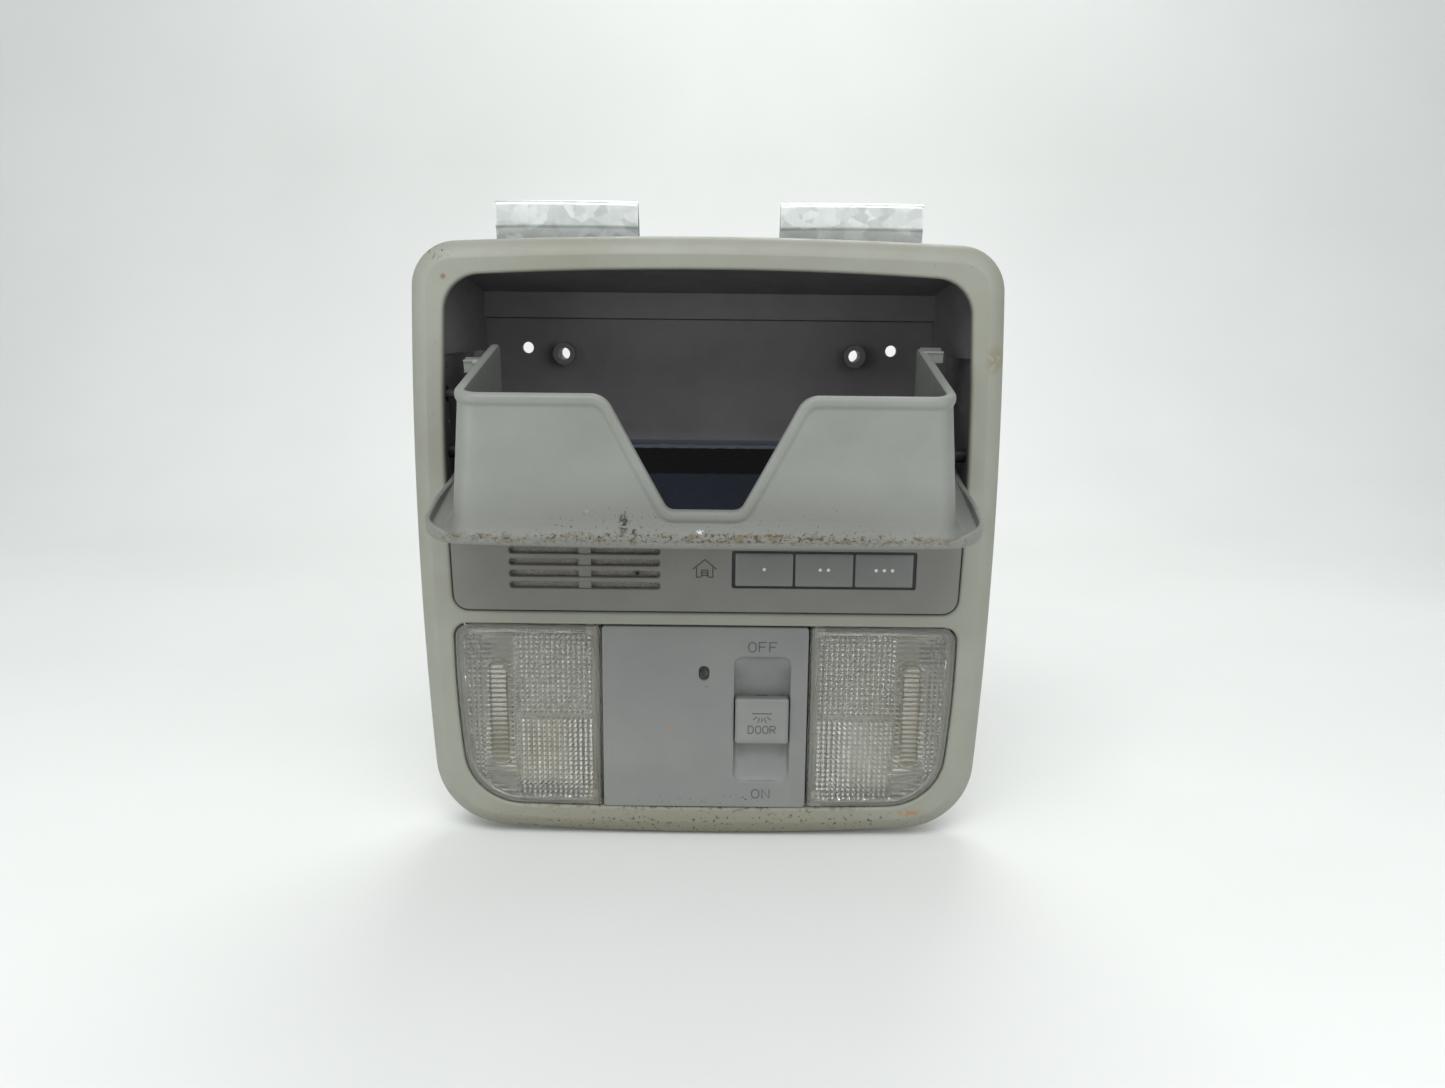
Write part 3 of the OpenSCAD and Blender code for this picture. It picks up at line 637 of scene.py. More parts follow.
def build_bezel():
    m = Mesh()
    size, ridge = 6, math.radians(28)
    s0, c0 = math.sin(ridge), math.cos(ridge)
    roll = []
    for k in range(13):
        t = ridge + (math.pi / 2 - ridge) * (1 - k / 12)
        roll.append((size * (1 - (math.sin(t) - s0) / (1 - s0)), size * (c0 - math.cos(t)) / c0))
    steps = [(4.4, 2.6), (4.4, 5.6), (4.2, 6.1), (2.6, 6.9), (2.6, 13.8), (2.4, 14.0)]
    steps += [(0.2, 14.0), (0.0, 13.8), (0.0, 10.0), *roll, (6.35, 0.0)]
    edge = framed((98.7, -111.0), (100.4, 99.2), (3.3, 2.9, 4.3), [16, 16, 27, 27], 18)
    rings = m.profile(edge, steps)
    lip = [(-1.3, 0.0), (-1.0, 0.0), (-0.62, 0.1), (-0.28, 0.34), (-0.07, 0.7)]
    lip += [(0.0, 1.1), (0.0, 2.6)]
    upper = m.profile(upper_opening(), lip)
    lower = framed((86.3, -102.0), (90.6, -33.0), (1.4, 0, 1.4), [5, 5, 22, 22], 12)
    lower = m.profile(lower, lip)
    m.flat(rings[-1], [upper[0], lower[0]])
    m.flat(rings[0], [upper[-1], lower[-1]])
    for side in (-1, 1):
        for x, z in ((96, 70), (96.8, -14), (96.8, -40), (45, -108.6)):
            m.rod((side * x, 2.4, z), (side * x, 9, z), 2.4)
        # Short stiffening ribs on the inside of the side walls
        a, b = sorted((side * 97.2, side * 99))
        for z in (-92, -66, 20):
            m.block((a, 4, z - 0.6), (b, 8.6, z + 0.6), 0.2)
    m.done("bezel_shell", "root", bezel_plastic, ["bezel"])


# ---- glasses holder ----


def build_door_panel():
    m = Mesh(D)

    def share(value, low, high):
        t = clamped((value - low) / (high - low))
        return t * t * (3 - 2 * t)

    def raised(y):
        """The rim is tall at the free corners, thin along the free edge and low by the hinge."""

        def depth(x, z):
            front = share(z, 80, 87) * share(-abs(x), -84, -74)
            return 2 + (y - 2) * (1 - 0.86 * front - 0.86 * share(-z, -66, -30))

        return depth

    steps = [(2.0, 0.0), (1.5, 0.0), (0.95, 0.12), (0.5, 0.4), (0.18, 0.85), (0.0, 1.5)]
    rim = [(0.0, 4.2), (0.12, 4.7), (0.45, 5.0), (1.3, 5.0), (1.65, 4.75), (1.8, 4.3)]
    rim += [(1.8, 2.6), (2.0, 2.15)]
    steps += [(d, raised(y)) for d, y in rim] + [(2.5, 2.0), (3.0, 2.0)]
    rings = m.profile(upper_opening(2.4, 4.3, 0.6, 15), steps)
    m.cap(rings)
    m.done("door_skin", "door", door_plastic, ["door_panel"])


# The pocket's outer face: half widths and front faces at its foot and rim, then heights up its
# wall, corner radius, rear end and wall thickness
TRAY_HALF, TRAY_RIM_HALF, TRAY_TOP, TRAY_RIM_TOP = 79.7, 76.5, 85.8, 75.5
TRAY_FOOT, TRAY_RIM, TRAY_R, TRAY_REAR, WALL = 2.0, 45.0, 8, 6, 2.2
TRAY_SIDE, TRAY_BEND = TRAY_TOP - TRAY_R - TRAY_REAR, TRAY_R * math.pi / 2
TRAY_LONG = 2 * (TRAY_SIDE + TRAY_BEND + TRAY_HALF - TRAY_R)


def tray_at(s, y, out):
    """A point of the pocket's wall: s along its base, y up it, out from its outer face."""
    t = (y - TRAY_FOOT) / (TRAY_RIM - TRAY_FOOT)
    half = TRAY_HALF + (TRAY_RIM_HALF - TRAY_HALF) * t
    top = TRAY_TOP + (TRAY_RIM_TOP - TRAY_TOP) * t
    r = TRAY_R - t
    flip = 1
    if s > TRAY_LONG / 2:
        s, flip = TRAY_LONG - s, -1
    if s < TRAY_SIDE:
        x, z, nx, nz = -half, TRAY_REAR + s * (top - r - TRAY_REAR) / TRAY_SIDE, -1.0, 0.0
    elif s < TRAY_SIDE + TRAY_BEND:
        a = (s - TRAY_SIDE) / TRAY_BEND * math.pi / 2
        nx, nz = -math.cos(a), math.sin(a)
        x, z = r - half + r * nx, top - r + r * nz
    else:
        x = (half - r) * ((s - TRAY_SIDE - TRAY_BEND) / (TRAY_HALF - TRAY_R) - 1)
        z, nx, nz = top, 0.0, 1.0
    return flip * (x + out * nx), y, z + out * nz


def filleted(points, radii, step):
    """An open line through the points with rounded corners, and a point every step along it."""
    out = [points[0]]

    def run_to(q):
        p = out[-1]
        n = max(1, round(math.dist(p, q) / step))
        out.extend(between(p, q, k / n) for k in range(1, n + 1))

    for i in range(1, len(points) - 1):
        p, q, r = (Vector(points[k]) for k in (i - 1, i, i + 1))
        u, v = (q - p).normalized(), (r - q).normalized()
        turn = abs(u.angle_signed(v))
        cut = radii[i] * math.tan(turn / 2)
        a, b = q - u * cut, q + v * cut
        run_to((a.x, a.y))
        handle = 4 / 3 * math.tan(turn / 4) * radii[i]
        steps = max(4, round(radii[i] * turn / 0.9))
        out += [*corner(a, b, u, v, handle, steps), (b.x, b.y)]
    run_to(points[-1])
    return out


def build_door_tray():
    m = Mesh(D)
    mid, notch_low, notch_top, notch_foot = TRAY_LONG / 2, 11.2, 31.4, 10.5
    half = [(0, TRAY_FOOT), (1.1, 26.7), (6.5, TRAY_RIM)]
    half += [(mid - notch_top, TRAY_RIM), (mid - notch_low, notch_foot)]
    radii = [0, 8, 4, 8, 3.4]
    rim = filleted(half + [(TRAY_LONG - s, y) for s, y in half[::-1]], radii + radii[::-1], 1.3)
    ways = inset(rim, -1.0, closed=False)

    def put(s, y, out, lift=0.0):
        v = m.bm.verts.new(D(*tray_at(s, y, out)))
        m.flat_at[v] = Vector((s, y + lift))
        return v

    def ring(d, out):
        """The rim's line d down the wall; its bead stands out, but not on the two free ends."""
        verts = []
        for (s, y), (s1, y1) in zip(rim, ways):
            bead = clamped((min(s, TRAY_LONG - s) - 3.0) / 4.0)
            w = (0.35 + 0.65 * bead) * min(1.0, (y - TRAY_FOOT) / 5)
            verts.append(
                put(s + (s1 - s) * d * w, y + (y1 - y) * d * w, out * bead if out > 0 else out)
            )
        return verts

    section = [(4.4, 0), (3.9, 0.03), (3.5, 0.16), (3.1, 0.4), (2.7, 0.64), (2.2, 0.82)]
    section += [(1.6, 0.9), (1.0, 0.9), (0.45, 0.75), (0.12, 0.35), (0.0, -0.3), (0.0, -1.1)]
    section += [(0.12, -1.7), (0.45, -2.1), (1.0, -WALL), (4.2, -WALL)]
    rings = m.loft([ring(d, out) for d, out in section], closed=False)
    count = 150
    along = [TRAY_LONG * k / count for k in range(1, count)]
    for edge, out in ((rings[0], 0), (rings[-1], -WALL)):
        outer = edge + [put(s, TRAY_FOOT, out) for s in along[::-1]]
        loop = [m.flat_at[v] for v in outer]
        inner = []
        for s in along:
            for y in range(6, 39, 4):
                if well_inside(Vector((s, y + 0.01)), loop, 1.2):
                    inner.append(put(s, y, out, 0.01))
        m.flat(outer, extra=inner)

    def reach(x, z):
        """How far the cove at the wall's foot runs out over the panel."""
        front = clamped((z - 78) / 7.5)
        return 3.2 + front * front * (2.5 * (1 - (x / 89) ** 2) - 1.9)

    cove = []
    hollow = [(-0.02, 8.4), (0.03, 6.2), (0.12, 4.7), (0.3, 3.6), (0.58, 2.9), (0.82, 2.58)]
    for share, y in [*hollow, (1.0, 2.46), (1.03, 2.1)]:
        row = []
        for s in (TRAY_LONG * k / 240 for k in range(241)):
            x, _, z = tray_at(s, y, 0)
            row.append(tray_at(s, y, share * reach(x, z)))
        cove.append(m.points(row))
    m.loft(cove, closed=False)
    # Floor of the pocket, laid on the door panel
    wall = [tray_at(TRAY_LONG * k / 120, 4, -1.6) for k in range(121)]
    floor = [(x, max(z, 6.2)) for x, _, z in wall[::-1]]
    crest = [(x * 0.996, min(z, z * 0.996 + 0.1)) for x, z in floor]
    rows = m.loft([m.ring(floor, 2.05), m.ring(floor, 3.9), m.ring(crest, 4.0)])
    m.flat(rows[-1])
    for side in (-1, 1):
        a, b = sorted((side * 77.2, side * 81.8))
        m.rod((a, HINGE_Y, HINGE_Z), (b, HINGE_Y, HINGE_Z), 5, chamfer=0.5)
        # Mould ribs on the inside of the side walls
        a, b = sorted((side * 77.4, side * 76.2))
        for z in (40, 56):
            m.block((a, 4, z - 0.5), (b, 30, z + 0.5), 0.2)
    # Striker tab, and the stop lug with its pin
    m.block((75.7, 41.7, 13.8), (82.1, 44.8, 18.9), 0.5)
    m.block((-84.0, 38.4, 22.6), (-76.9, 41.9, 25.9), 0.5)
    m.rod((-80.4, 42.5, 30), (-76.1, 42.5, 30), 1.2)
    m.done("pocket_shell", "door", door_plastic, ["door_tray"], sharp=38)


FELT_REAR, CURL_R, CURL_UP = 10.0, 2.4, 2.2


def build_felt():
    """The liner: flat on the pocket's floor, with its rear edge turned up."""
    quarter = CURL_R * math.pi / 2
    low, high = FELT_REAR - quarter - CURL_UP, 75.8

    def laid(x, y, z):
        gone = FELT_REAR - z
        if gone <= 0:
            return D(x, y, z)
        lift = y - 4.1
        turn = min(gone / CURL_R, math.pi / 2)
        back = (CURL_R - lift) * math.sin(turn)
        up = CURL_R - (CURL_R - lift) * math.cos(turn) + max(0.0, gone - quarter)
        return D(x, 4.1 + up, FELT_REAR - back)

    m = Mesh(laid)
    line = rect(0, (low + high) / 2, 147.6, high - low, 2)

    def nap(x, z):
        return 5.2 - 0.1 * math.sin(x * 0.9 + 2 * math.sin(z * 0.35)) * math.sin(z * 0.8 + x * 0.13)

    steps = [(0.3, 4.05), (0.05, 4.1), (0.0, 4.5), (0.15, 4.9), (0.6, 5.1), (1.2, 5.2)]
    rings = m.profile(line, steps)
    inner = []
    for i in range(-60, 61):
        for j in range(60):
            x, z = i * 1.2, low + 1.9 + j * 1.2
            if z < high - 1.9:
                inner += m.ring([(x, z)], nap)
    m.flat(rings[-1], extra=inner)
    # Points under the curl, so that the underside bends with it
    under = [(i * 2.4, FELT_REAR - k * 0.6) for i in range(-30, 31) for k in range(8)]
    m.flat(rings[0], extra=m.ring([p for p in under if Vector(p).y > low + 1.0], 4.05))
    for v in [v for v in m.bm.verts if not v.link_faces]:
        m.bm.verts.remove(v)
    made = m.done("felt_liner", "door", felt, ["felt_pad"], sharp=60)
    return made


build_bezel()
build_door_panel()
build_door_tray()
build_felt()


# ---- garage remote ----


def opening_side(z):
    """Half width of the upper opening at a height."""
    t = (z - UPPER_LOW) / (UPPER_TOP - UPPER_LOW)
    return UPPER_HALF + (UPPER_HALF_TOP - UPPER_HALF) * t + 4 * UPPER_BULGE * t * (1 - t)


def build_middle_panel():
    m = Mesh()
    top, low = 1.5, -28.0
    right = [(opening_side(z) - 0.4, z) for z in (low + (top - low) * k / 10 for k in range(11))]
    left = [(-x, z) for x, z in right][::-1]
    sides = [right, [right[-1], left[0]], left, [left[-1], right[0]]]
    steps = [(1.2, 5.0), (1.2, 2.8), (0.0, 2.6), (0.0, 0.9), (0.1, 0.55), (0.35, 0.34)]
    face = m.profile(outline(sides, [1.3, 1.3, 5.6, 5.6], 10), [*steps, (0.8, 0.3), (1.2, 0.3)])
    # Each grille row is one shallow slot with two vents through it and a sunk bridge between them
    holes, vents = [], []
    square, round_end = [0.3, 0.3], [1.0, 1.0]
    for i in (-1.5, -0.5, 0.5, 1.5):
        z = ROW_Z + GRILLE_PITCH * i
        slot = rect(-43.05, z, 53.6, 2.3, 1.1)
        row = m.profile(slot, [(-0.5, 0.3), (-0.28, 0.34), (-0.08, 0.55), (0.0, 0.9)])
        pair = [
            m.profile(rect(x, z, 24.5, 2.16, r), [(0.0, 0.9), (0.0, 2.6)])
            for x, r in ((-57.5, square + round_end), (-28.6, round_end + square))
        ]
        m.flat(row[-1], [vent[0] for vent in pair])
        holes.append(row)
        vents += pair
    steps = [(-0.3, 0.3), (-0.15, 0.33), (-0.03, 0.45), (0.0, 0.8), (0.0, 2.6)]
    window = m.profile(rect(BUTTON_X, ROW_Z, 65.5, 13.6, 0.8), steps)
    dot = m.profile(rect(-24.4, -13.8, 1.5, 1.5, 0.72), [(-0.12, 0.3), (0.0, 0.42), (0.0, 2.2)])
    m.flat(dot[-1])
    m.flat(face[-1], [h[0] for h in (*holes, window, dot)])
    m.flat(face[1], [h[-1] for h in (*vents, window)])
    m.done("middle_fascia", "root", panel_plastic, ["middle_panel"])


def build_buttons():
    for i, body in ((1, "first_button"), (2, "second_button"), (3, "third_button")):
        x = BUTTON_X + (i - 2) * BUTTON_PITCH
        m = Mesh()

        def dome(px, pz, x=x):
            return 0.02 + 0.15 * (((px - x) / 10.25) ** 4 + ((pz - ROW_Z) / 5.9) ** 4)

        steps = [(0.0, 4.1), (0.0, 0.7), (0.05, 0.5), (0.16, 0.38), (0.34, dome)]
        rings = m.profile(rect(x, ROW_Z, 20.62, 12.05, 0.6), steps)
        grid = [(x + a * 1.8, ROW_Z + b * 1.6) for a in range(-5, 6) for b in range(-3, 4)]
        m.flat(rings[-1], extra=m.ring(grid, dome))
        flange = m.profile(rect(x, ROW_Z, 20.9, 13.8, 0.6), [(0.0, 4.1), (0.0, 4.9), (0.15, 5.0)])
        m.flat(flange[-1])
        m.flat(flange[0], [rings[0]])
        m.done(f"button_cap_{i}", body, button_plastic, [f"button_{i}"])
        dots = Mesh()
        for k in range(i):
            spot = rect(x + (k - (i - 1) / 2) * 2.9, ROW_Z + 0.2, 1.3, 1.3, 0.62, 5)
            dots.cap(dots.profile(spot, [(0.0, 0.12), (0.03, 0.03), (0.14, 0.0), (0.3, 0.0)]))
        dots.done(f"button_dots_{i}", body, ink_light)


def strokes(name, lines, body, material, width, y=0.3):
    """Flat raised strokes along polylines of (x, z) points."""
    m = Mesh()
    high = 0.05
    for line in lines:
        pts = [Vector(p) for p in line]
        shut = (pts[0] - pts[-1]).length < 1e-6
        if shut:
            pts = pts[:-1]
        raw = [(p.x, p.y) for p in pts]
        a, b = inset(raw, width / 2, closed=shut), inset(raw, -width / 2, closed=shut)
        rows = [m.ring(b, y), m.ring(b, y - high), m.ring(a, y - high), m.ring(a, y)]
        m.bar(rows, shut)
    m.done(name, body, material, sharp=30)


def build_house_mark():
    """A plain house with a garage door: roof, walls, door and two bars."""
    x, z = -0.4, -12.0
    foot, jamb = z - 3.1, 1.1
    roof = [(x - 4.2, z - 0.2), (x, z + 3.3), (x + 4.2, z - 0.2)]
    walls = [[(x + k * 2.9, z + 0.5), (x + k * 2.9, foot), (x + k * 1.5, foot)] for k in (-1, 1)]
    door = [(x - jamb, foot), (x - jamb, z - 0.6), (x + jamb, z - 0.6), (x + jamb, foot)]
    bars = [[(x - jamb, z - drop), (x + jamb, z - drop)] for drop in (1.5, 2.4)]
    strokes("house_mark", [roof, *walls, door, *bars], "root", ink_dark, 0.46)


# ---- centre panel, knob and its marks ----

TROUGH = (*KNOB, 20.6, 48.4)


def trough(x, z):
    """Depth of the knob's channel: square across in the middle, and rounder at both ends."""
    cx, cz, w, h = TROUGH
    u, v = min(1.0, abs(x - cx) / (w / 2)), min(1.0, abs(z - cz) / (h / 2))
    blend = clamped((v - 0.62) / 0.26)
    across = (1 - u**14) ** 0.5 * (1 - blend) + (1 - u**3.0) ** 0.6 * blend
    return 0.3 + 4.85 * across * (1 - v**2.6) ** 0.62


def trough_wall(x, z):
    return max(0.75, trough(x, z))


def build_centre_panel():
    m = Mesh()
    steps = [(0.8, 6.0), (0.8, 2.8), (0.0, 2.6), (0.0, 0.8), (0.1, 0.5), (0.3, 0.34)]
    face = m.profile(rect(0, -68.3, 74.6, 69.6, 1.3, 8), [*steps, (0.7, 0.3), (1.2, 0.3)])
    cx, cz, w, h = TROUGH
    dense = densified(rect(cx, cz, w - 0.2, h - 0.4, 3.2, 10))
    rim = m.profile(dense, [(-0.7, 0.3), (-0.35, 0.32), (-0.08, 0.46)])
    shell = inset(dense, 0.12)
    start = m.ring(shell, trough_wall)
    m.bridge(rim[-1], start)
    # The channel's grid is finer near its sides, and leaves out the slot of the knob's stem
    grid = []
    for u in (i / 16 for i in range(-16, 17)):
        x = cx + (w / 2 - 0.35) * math.copysign(abs(u) ** 0.72, u)
        for z in (cz + j * h / 2 / 39 for j in range(-38, 39)):
            if abs(x - cx) > 3.0 or abs(z - cz) > 8.5:
                grid.append((x, z))
    slot = m.profile(rect(cx, cz, 5.4, 16.1, 1), [(0.0, trough), (0.0, 6.4)])
    m.flat(start, [slot[0]], m.scatter(grid, shell, 0.22, trough_wall))
    steps = [(-0.7, 0.3), (-0.35, 0.35), (-0.08, 0.6), (0.0, 1.0), (0.0, 2.6)]
    eye = m.profile(rect(-0.4, -51, 3.6, 5.2, 1.75, 8), steps)
    m.flat(face[-1], [rim[0], eye[0]])
    m.done("centre_fascia", "root", centre_plastic, ["centre_panel"], sharp=50)


def build_knob():
    m = Mesh()
    x, z = KNOB

    def face(px, pz):
        return -1.85 + 0.28 * ((px - x) / 9.8) ** 4 + 0.55 * (abs(pz - z) / 8.8) ** 5

    steps = [(1.2, 3.1), (0.4, 3.0), (0.1, 2.6), (0.0, 2.0), (0.0, -0.3), (0.12, -0.75)]
    rings = m.profile(rect(x, z, 19.5, 17.6, 1.1), [*steps, (0.42, -1.1), (0.9, face)])
    grid = [(x + a * 1.4, z + b * 1.3) for a in range(-6, 7) for b in range(-5, 6)]
    m.flat(rings[-1], extra=m.ring(grid, face))
    m.flat(rings[0])
    m.block((x - 1.8, 2.9, z - 2.0), (x + 1.8, 9.6, z + 2.0), 0.3)
    m.done("knob_cap", "knob", knob_plastic, ["slide_knob"])


def letter(kind, cx, cz, w, h):
    """The strokes of one plain block letter, centred at (cx, cz)."""
    a, b, c, d = cx - w / 2, cx + w / 2, cz - h / 2, cz + h / 2
    stem, quarter = [(a, c), (a, d)], math.pi / 2
    if kind == "O":
        r = w / 2
        k = h / 2 - r
        top = arc(cx, cz + k, r, r, 0, math.pi, 8)
        return [top + arc(cx, cz - k, -r, -r, 0, math.pi, 8) + top[:1]]
    if kind == "F":
        return [[(b, d), (a, d), (a, c)], [(a, cz + 0.1), (b - 0.2 * w, cz + 0.1)]]
    if kind == "N":
        return [[*stem, (b, c), (b, d)]]
    if kind == "D":
        return [[*stem, *arc(a + w * 0.45, cz, w * 0.55, h / 2, quarter, -quarter, 8), (a, c)]]
    bow = arc(b - h * 0.26, cz + h * 0.24, h * 0.26, h * 0.26, quarter, -quarter, 6)
    waist = cz - 0.02 * h
    return [[*stem, *bow, (a, waist)], [(cx - 0.05 * w, waist), (b, c)]]


def word(text, cx, cz, w, h, gap):
    lines = []
    start = cx - (len(text) - 1) * (w + gap) / 2
    for i, kind in enumerate(text):
        lines += letter(kind, start + i * (w + gap), cz, w, h)
    return lines


def build_marks():
    """Plain words for the switch's stops, and a lamp sign on the knob."""
    x, z = KNOB
    for end, at, high in (("off", -40.9, 3.6), ("on", -97.6, 3.4)):
        lines = word(end.upper(), x, at, 2.7, high, 1.1)
        strokes(f"switch_{end}_mark", lines, "root", engraved, 0.5)
    sign = [[(x - 3.6, z + 3.3), (x + 3.6, z + 3.3)], [(x, z + 1.6), (x, z + 0.1)]]
    for dx, dz in ((-3.2, -1.7), (-1.5, -2.7), (1.5, -2.7), (3.2, -1.7)):
        sign.append([(x + dx * 0.55, z + 2.6 + dz * 0.3), (x + dx, z + 2.6 + dz)])
    sign += word("DOOR", x, z - 2.9, 1.9, 2.8, 0.75)
    strokes("switch_knob_mark", sign, "knob", engraved, 0.44, -1.84)


build_middle_panel()
build_buttons()
build_house_mark()
build_centre_panel()
build_knob()
build_marks()


# ---- map-light lenses ----


def lens_line(d=0.0):
    """A lens's outline, d inside its edge."""
    top, left, foot = -33.5 - d, 38.3 + d, (85.85 - d * 0.8, -101.5 + d * 0.7)
    low = [left + (foot[0] - left) * k / 30 for k in range(31)]
    low = [(x, foot[1] - 1.4 * (1 - (x / foot[0]) ** 2)) for x in low]
    sharp = max(0.5, 0.8 - d / 2)
    shoulder, inner = (90.1 - d, top), (left, top)
    sides = [crown(foot, shoulder, 1.4), [shoulder, inner], [inner, low[0]], low]
    return outline(sides, [max(1.5, 5 - d), sharp, sharp, 22 - d], 12)


PRISM_X, PRISM_Z, PRISM_START = 0.95, 0.925, (41.4, -35.9)
GRID_END, GRID_FOOT, EDGE_START, RIB = 69.5, -67.6, 81, 0.9


def prism(x, z):
    """Depth of the lens's patterned back: pyramids, flutes, or fine ribs by its zones."""
    odd_i = round((x - PRISM_START[0]) / PRISM_X) % 2
    odd_j = round((PRISM_START[1] - z) / PRISM_Z) % 2
    if x < GRID_END and abs(z - GRID_FOOT) < 0.7:
        return 1.5
    if x < GRID_END and z > GRID_FOOT:
        return 1.55 + (1.05 if odd_i and odd_j else 0.0)
    if x < GRID_END:
        return 1.55 + odd_i * (0.5 + 0.25 * odd_j)
    if x > EDGE_START:
        return 1.55 + 0.4 * odd_i + 0.4 * odd_j
    return 1.55 + 0.5 * odd_j


def build_lens(side, place):
    m = Mesh(place)
    shell = m.profile(lens_line(), [(0.0, 5.1), (0.0, 0.85), (0.1, 0.55), (0.3, 0.36), (0.65, 0.3)])
    steps = [(-0.5, 0.3), (-0.2, 0.22), (0.0, -0.12), (0.2, -0.34), (0.45, -0.39)]
    pad = m.profile(rect(*PAD, 9, 41, 4.4, 10), [*steps, (0.8, -0.34), (1.1, -0.12)])
    m.flat(pad[-1])
    m.flat(shell[-1], [pad[0]])
    inner = lens_line(1.8)
    wall = m.loft([m.ring(inner, 5.1), m.ring(inner, 2.0)])
    m.flat(shell[0], [wall[0]])
    field = lens_line(3.0)
    edge = m.ring(field, 1.6)
    m.flat(wall[1], [edge])
    x0, z0 = PRISM_START
    grid = [(x0 + i * PRISM_X, z0 - j * PRISM_Z) for i in range(60) for j in range(84)]
    m.flat(edge, extra=m.scatter(grid, field, 0.35, prism))
    m.rod((84, 1.6, -44), (84, 8, -44), 1.5)
    m.rod((41.5, 7.5, -102.4), (41.5, 7.5, -34.8), 1.3)
    for z in (-94, -70, -46):
        m.block((40.6, 2.0, z), (42.4, 7.5, z + 4), 0.25)
    body = f"{side}_lens"
    m.done(f"lens_{side}_pane", body, lens_clear, [f"lens_{side}"], sharp=12)


def build_grip(side, place):
    """The ribbed finger grip in the middle of a lens's oval pad."""
    m = Mesh(place)
    line = rect(*PAD, 6.7, 38.7, 3.3, 10)
    rings = m.profile(line, [(0.0, -0.14), (0.0, -0.34), (0.15, -0.5), (0.4, -0.5)])
    grid = [(PAD[0] + i * RIB, PAD[1] + j * RIB) for j in range(-20, 21) for i in range(-3, 4)]

    def ribs(_, z):
        return -0.2 - 0.55 * (round((z - PAD[1]) / RIB) % 2)

    m.flat(rings[-1], extra=m.scatter(grid, inset(line, 0.4), 0.25, ribs))
    m.flat(rings[0])
    m.done(f"lens_{side}_grip", f"{side}_lens", grip_plastic, sharp=12)


def build_lens_hooks(side, place):
    """Dark snap hooks and a seal behind the lens's borders, which stay still with the bezel."""
    m = Mesh(place)
    for a, b in ((55.0, 64.5), (43.9, 48.7)):
        m.block((a, 7.0, -36.6), (b, 9.4, -33.9), 0.4)
        m.block((a + 1.2, 9.0, -36.0), (b - 1.2, 13.0, -34.1), 0.3)
    for a, b in ((52, 58), (62, 68)):
        m.block((a, 7.0, -101.0), (b, 9.4, -98.6), 0.4)
    # The seal runs round three sides, and stops short of the lens's hinge
    stop, front, back = 43.4, 7.8, 8.1
    outer = densified(lens_line(0.9))
    inner = inset(outer, 2.2)
    count = len(outer)
    start = next(i for i in range(count) if outer[i][0] > stop >= outer[i - 1][0])
    order = [k % count for k in range(start, start + count) if outer[k % count][0] > stop]
    a, b = [outer[k] for k in order], [inner[k] for k in order]
    corners = ((a, front), (b, front), (b, back), (a, back))
    m.bar([m.ring(line, y) for line, y in corners], False)
    m.done(f"lens_hooks_{side}", "root", black_plastic)


for build in (build_lens, build_grip, build_lens_hooks):
    build("right", P)
    build("left", mirrored(P))


# ---- roof clips ----


def build_clip(side, cx):
    m = Mesh()
    bends = [(11.4, 93.7), (21.8, 93.7), (24.5, 95.2), (21.6, 105.6), (21.1, 106.6)]
    bends += [(20.8, 113.6), (22.6, 115.0), (26.6, 108), (29.4, 101.5), (28.6, 98.5)]
    path = filleted(bends, [0, 1.6, 1.6, 1.0, 1.4, 0.9, 1.1, 6, 0.9, 0], 0.9)
    n, half_thick, half_wide = len(path), 0.45, 25
    section = inset(path, half_thick, closed=False) + inset(path, -half_thick, closed=False)[::-1]
    rows = []
    for x in (-25, -24.8, -24, -19, -12, -6, 0, 6, 12, 19, 24, 24.8, 25):
        squeeze = 0.72 if abs(x) == half_wide else 1.0
        row = []
        for q, mid in zip(section, path + path[::-1]):
            y, z = between(mid, q, squeeze)
            sag = 0.25 * (x / half_wide) ** 4 if z > 100 else 0.0
            row.append((cx + x, y, z - sag))
        rows.append(m.points(row))
    m.loft(rows)
    for row in (rows[0], rows[-1]):
        for k in range(n - 1):
            m.bm.faces.new((row[k], row[k + 1], row[2 * n - 2 - k], row[2 * n - 1 - k]))
    m.done(f"roof_clip_{side}", "root", galvanised, [f"clip_{side}"], sharp=50)


build_clip("left", -50)
build_clip("right", 50)


# ---- materials of the CAD pieces that stay ----

def finish(material, *names):
    for name in names:
        data = nodes[name].data
        data.materials.clear()
        data.materials.append(material)


finish(bay_plastic, "bay_housing")
finish(black_plastic, "damper_body", "door_latch", "button_frame", "transmitter_cover")
finish(black_plastic, "slide_switch", "map_switches")
finish(moulded("nylon", rgb(74, 74, 76), rgb(64, 64, 66), 0.4), "gear_sector", "damper_pinion")
finish(steel("pin_steel", rgb(52, 52, 54), 0.5, (0.3, 3, 3)), "hinge_pins")
finish(steel("screw_steel", rgb(138, 140, 142), 0.42, (2, 2, 2)), "damper_screws", "housing_screws")
finish(steel("spring_steel", rgb(150, 152, 154), 0.38, (1, 4, 4)), "door_spring")
finish(woven_mesh("mesh"), "grille_mesh")
finish(
    steel("can_metal", rgb(188, 190, 190), 0.4, (3, 1, 0.4)),
    "microphone", "radio_module", "clip_rivets",
)
finish(moulded("membrane", rgb(70, 76, 84), rgb(60, 66, 74), 0.7), "keypad_membrane")
finish(circuit("board"), "transmitter_board", "lamp_board")
finish(
    moulded("ceramic", rgb(216, 211, 196), rgb(204, 198, 182), 0.6, grain=0.00005),
    "bulb_holders", "ambient_led",
)
finish(clear_plastic("light_pipe", rgb(5, 5, 6), 0.35, 0.0), "led_pipe")
finish(lining("reflector"), "reflector_left", "reflector_right")
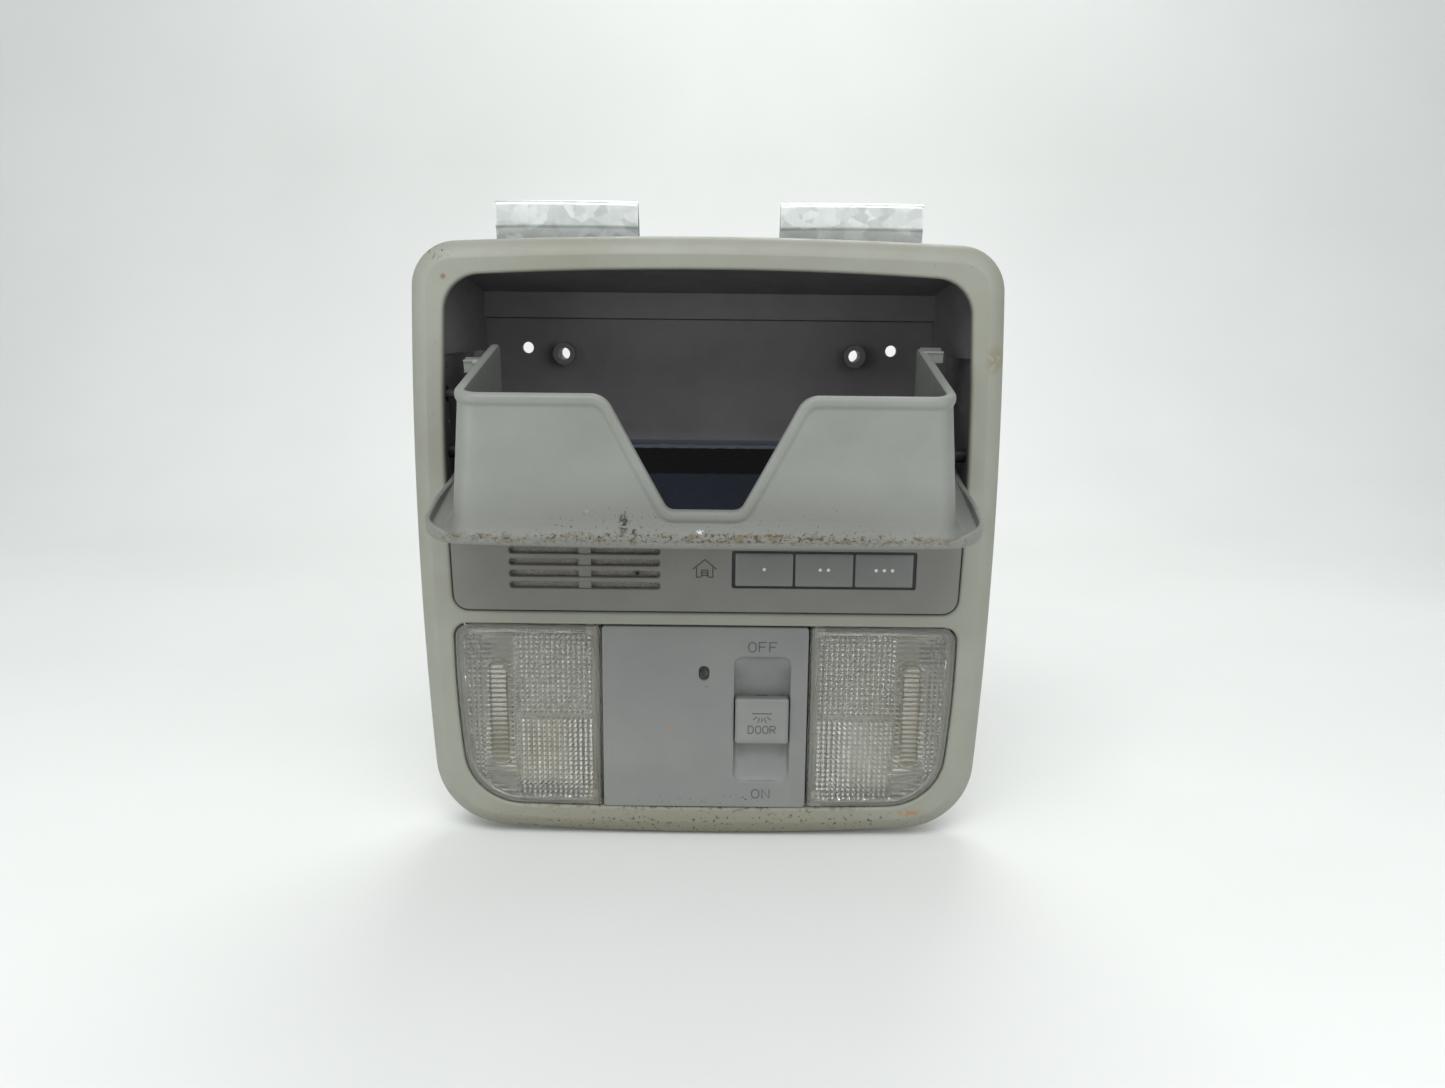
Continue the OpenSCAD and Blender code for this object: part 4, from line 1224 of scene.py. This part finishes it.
finish(clear_plastic("bulb_glass", rgb(240, 232, 206), 0.05), "bulb_left", "bulb_right")
finish(moulded("housing_plastic", rgb(196, 195, 186), rgb(184, 182, 172), 0.5), "lamp_housing")
finish(moulded("socket_plastic", rgb(222, 219, 206), rgb(210, 206, 192), 0.42), "harness_socket")
finish(steel("contact_brass", rgb(206, 172, 92), 0.35, (3, 0.4, 3)), "socket_pins")


# ---- floor, lights and camera ----


def build_stage():
    """A pale floor that curves up into a wall behind the part, in metres."""
    m = Mat("stage_paint", 0.75)
    tone = m.ramp(m.noise(3, 4), 0.3, 0.7)
    m.shade("Base Color", m.mix(tone, rgb(228, 230, 227), rgb(221, 223, 220)))
    m.bump(m.noise(40, 4), 0.0008, 0.15)
    low, bend_at, bend = cad_box[0].z - 0.0004, 0.45, 0.35
    rows = [(-1.6, low), *arc(bend_at, low + bend, bend, bend, -math.pi / 2, 0, 10)]
    rows += [(bend_at + bend, 1.8)]
    bm = bmesh.new()
    strips = [[bm.verts.new((x, y, z)) for x in (-2.2, -0.7, 0.7, 2.2)] for y, z in rows]
    for a, b in zip(strips, strips[1:]):
        for k in range(3):
            bm.faces.new((a[k], a[k + 1], b[k + 1], b[k]))
    data = bpy.data.meshes.new("stage_floor")
    bm.to_mesh(data)
    bm.free()
    data.shade_smooth()
    data.materials.append(m.material)
    linked("stage_floor", data)


def area_light(name, at, aim, size, power):
    data = bpy.data.lights.new(name, "AREA")
    data.shape, data.size, data.size_y = "RECTANGLE", size[0], size[1]
    data.energy = power
    lamp = linked(name, data)
    lamp.location = at
    lamp.rotation_mode = "QUATERNION"
    lamp.rotation_quaternion = (Vector(aim) - Vector(at)).to_track_quat("-Z", "Y")


def build_camera():
    data = bpy.data.cameras.new("camera")
    data.sensor_width, data.lens = 36.0, 27.1806
    data.clip_start, data.clip_end = 0.01, 20
    camera = linked("camera", data)
    tilt, roll, away, x, z = math.radians(12), math.radians(0.6), 385, 5.8, -2.9
    camera.location = P(x, -away * math.cos(tilt), z + away * math.sin(tilt))
    camera.rotation_mode = "QUATERNION"
    aim = (P(x, 0, z) - camera.location).to_track_quat("-Z", "Y")
    camera.rotation_quaternion = aim @ Matrix.Rotation(roll, 3, "Z").to_quaternion()
    scene.camera = camera


build_stage()
build_camera()
FACE_MIDDLE = (0, -0.02, -0.08)
area_light("key", (-0.12, -0.75, 0.85), FACE_MIDDLE, (0.9, 0.6), 9.1)
area_light("fill", (0.7, -0.8, 0.25), FACE_MIDDLE, (0.7, 0.7), 3.0)
area_light("side", (-0.75, -0.7, 0.02), (0.05, 0.02, -0.03), (0.5, 0.5), 2.2)
area_light("rim", (0.1, 0.6, 0.8), (0, 0, 0), (0.6, 0.3), 4)
world = bpy.data.worlds.new("studio")
world.use_nodes = True
sky = world.node_tree.nodes["Background"].inputs
sky["Color"].default_value, sky["Strength"].default_value = (0.93, 0.96, 1.0, 1), 0.45
scene.world = world
scene.view_settings.view_transform = "Standard"
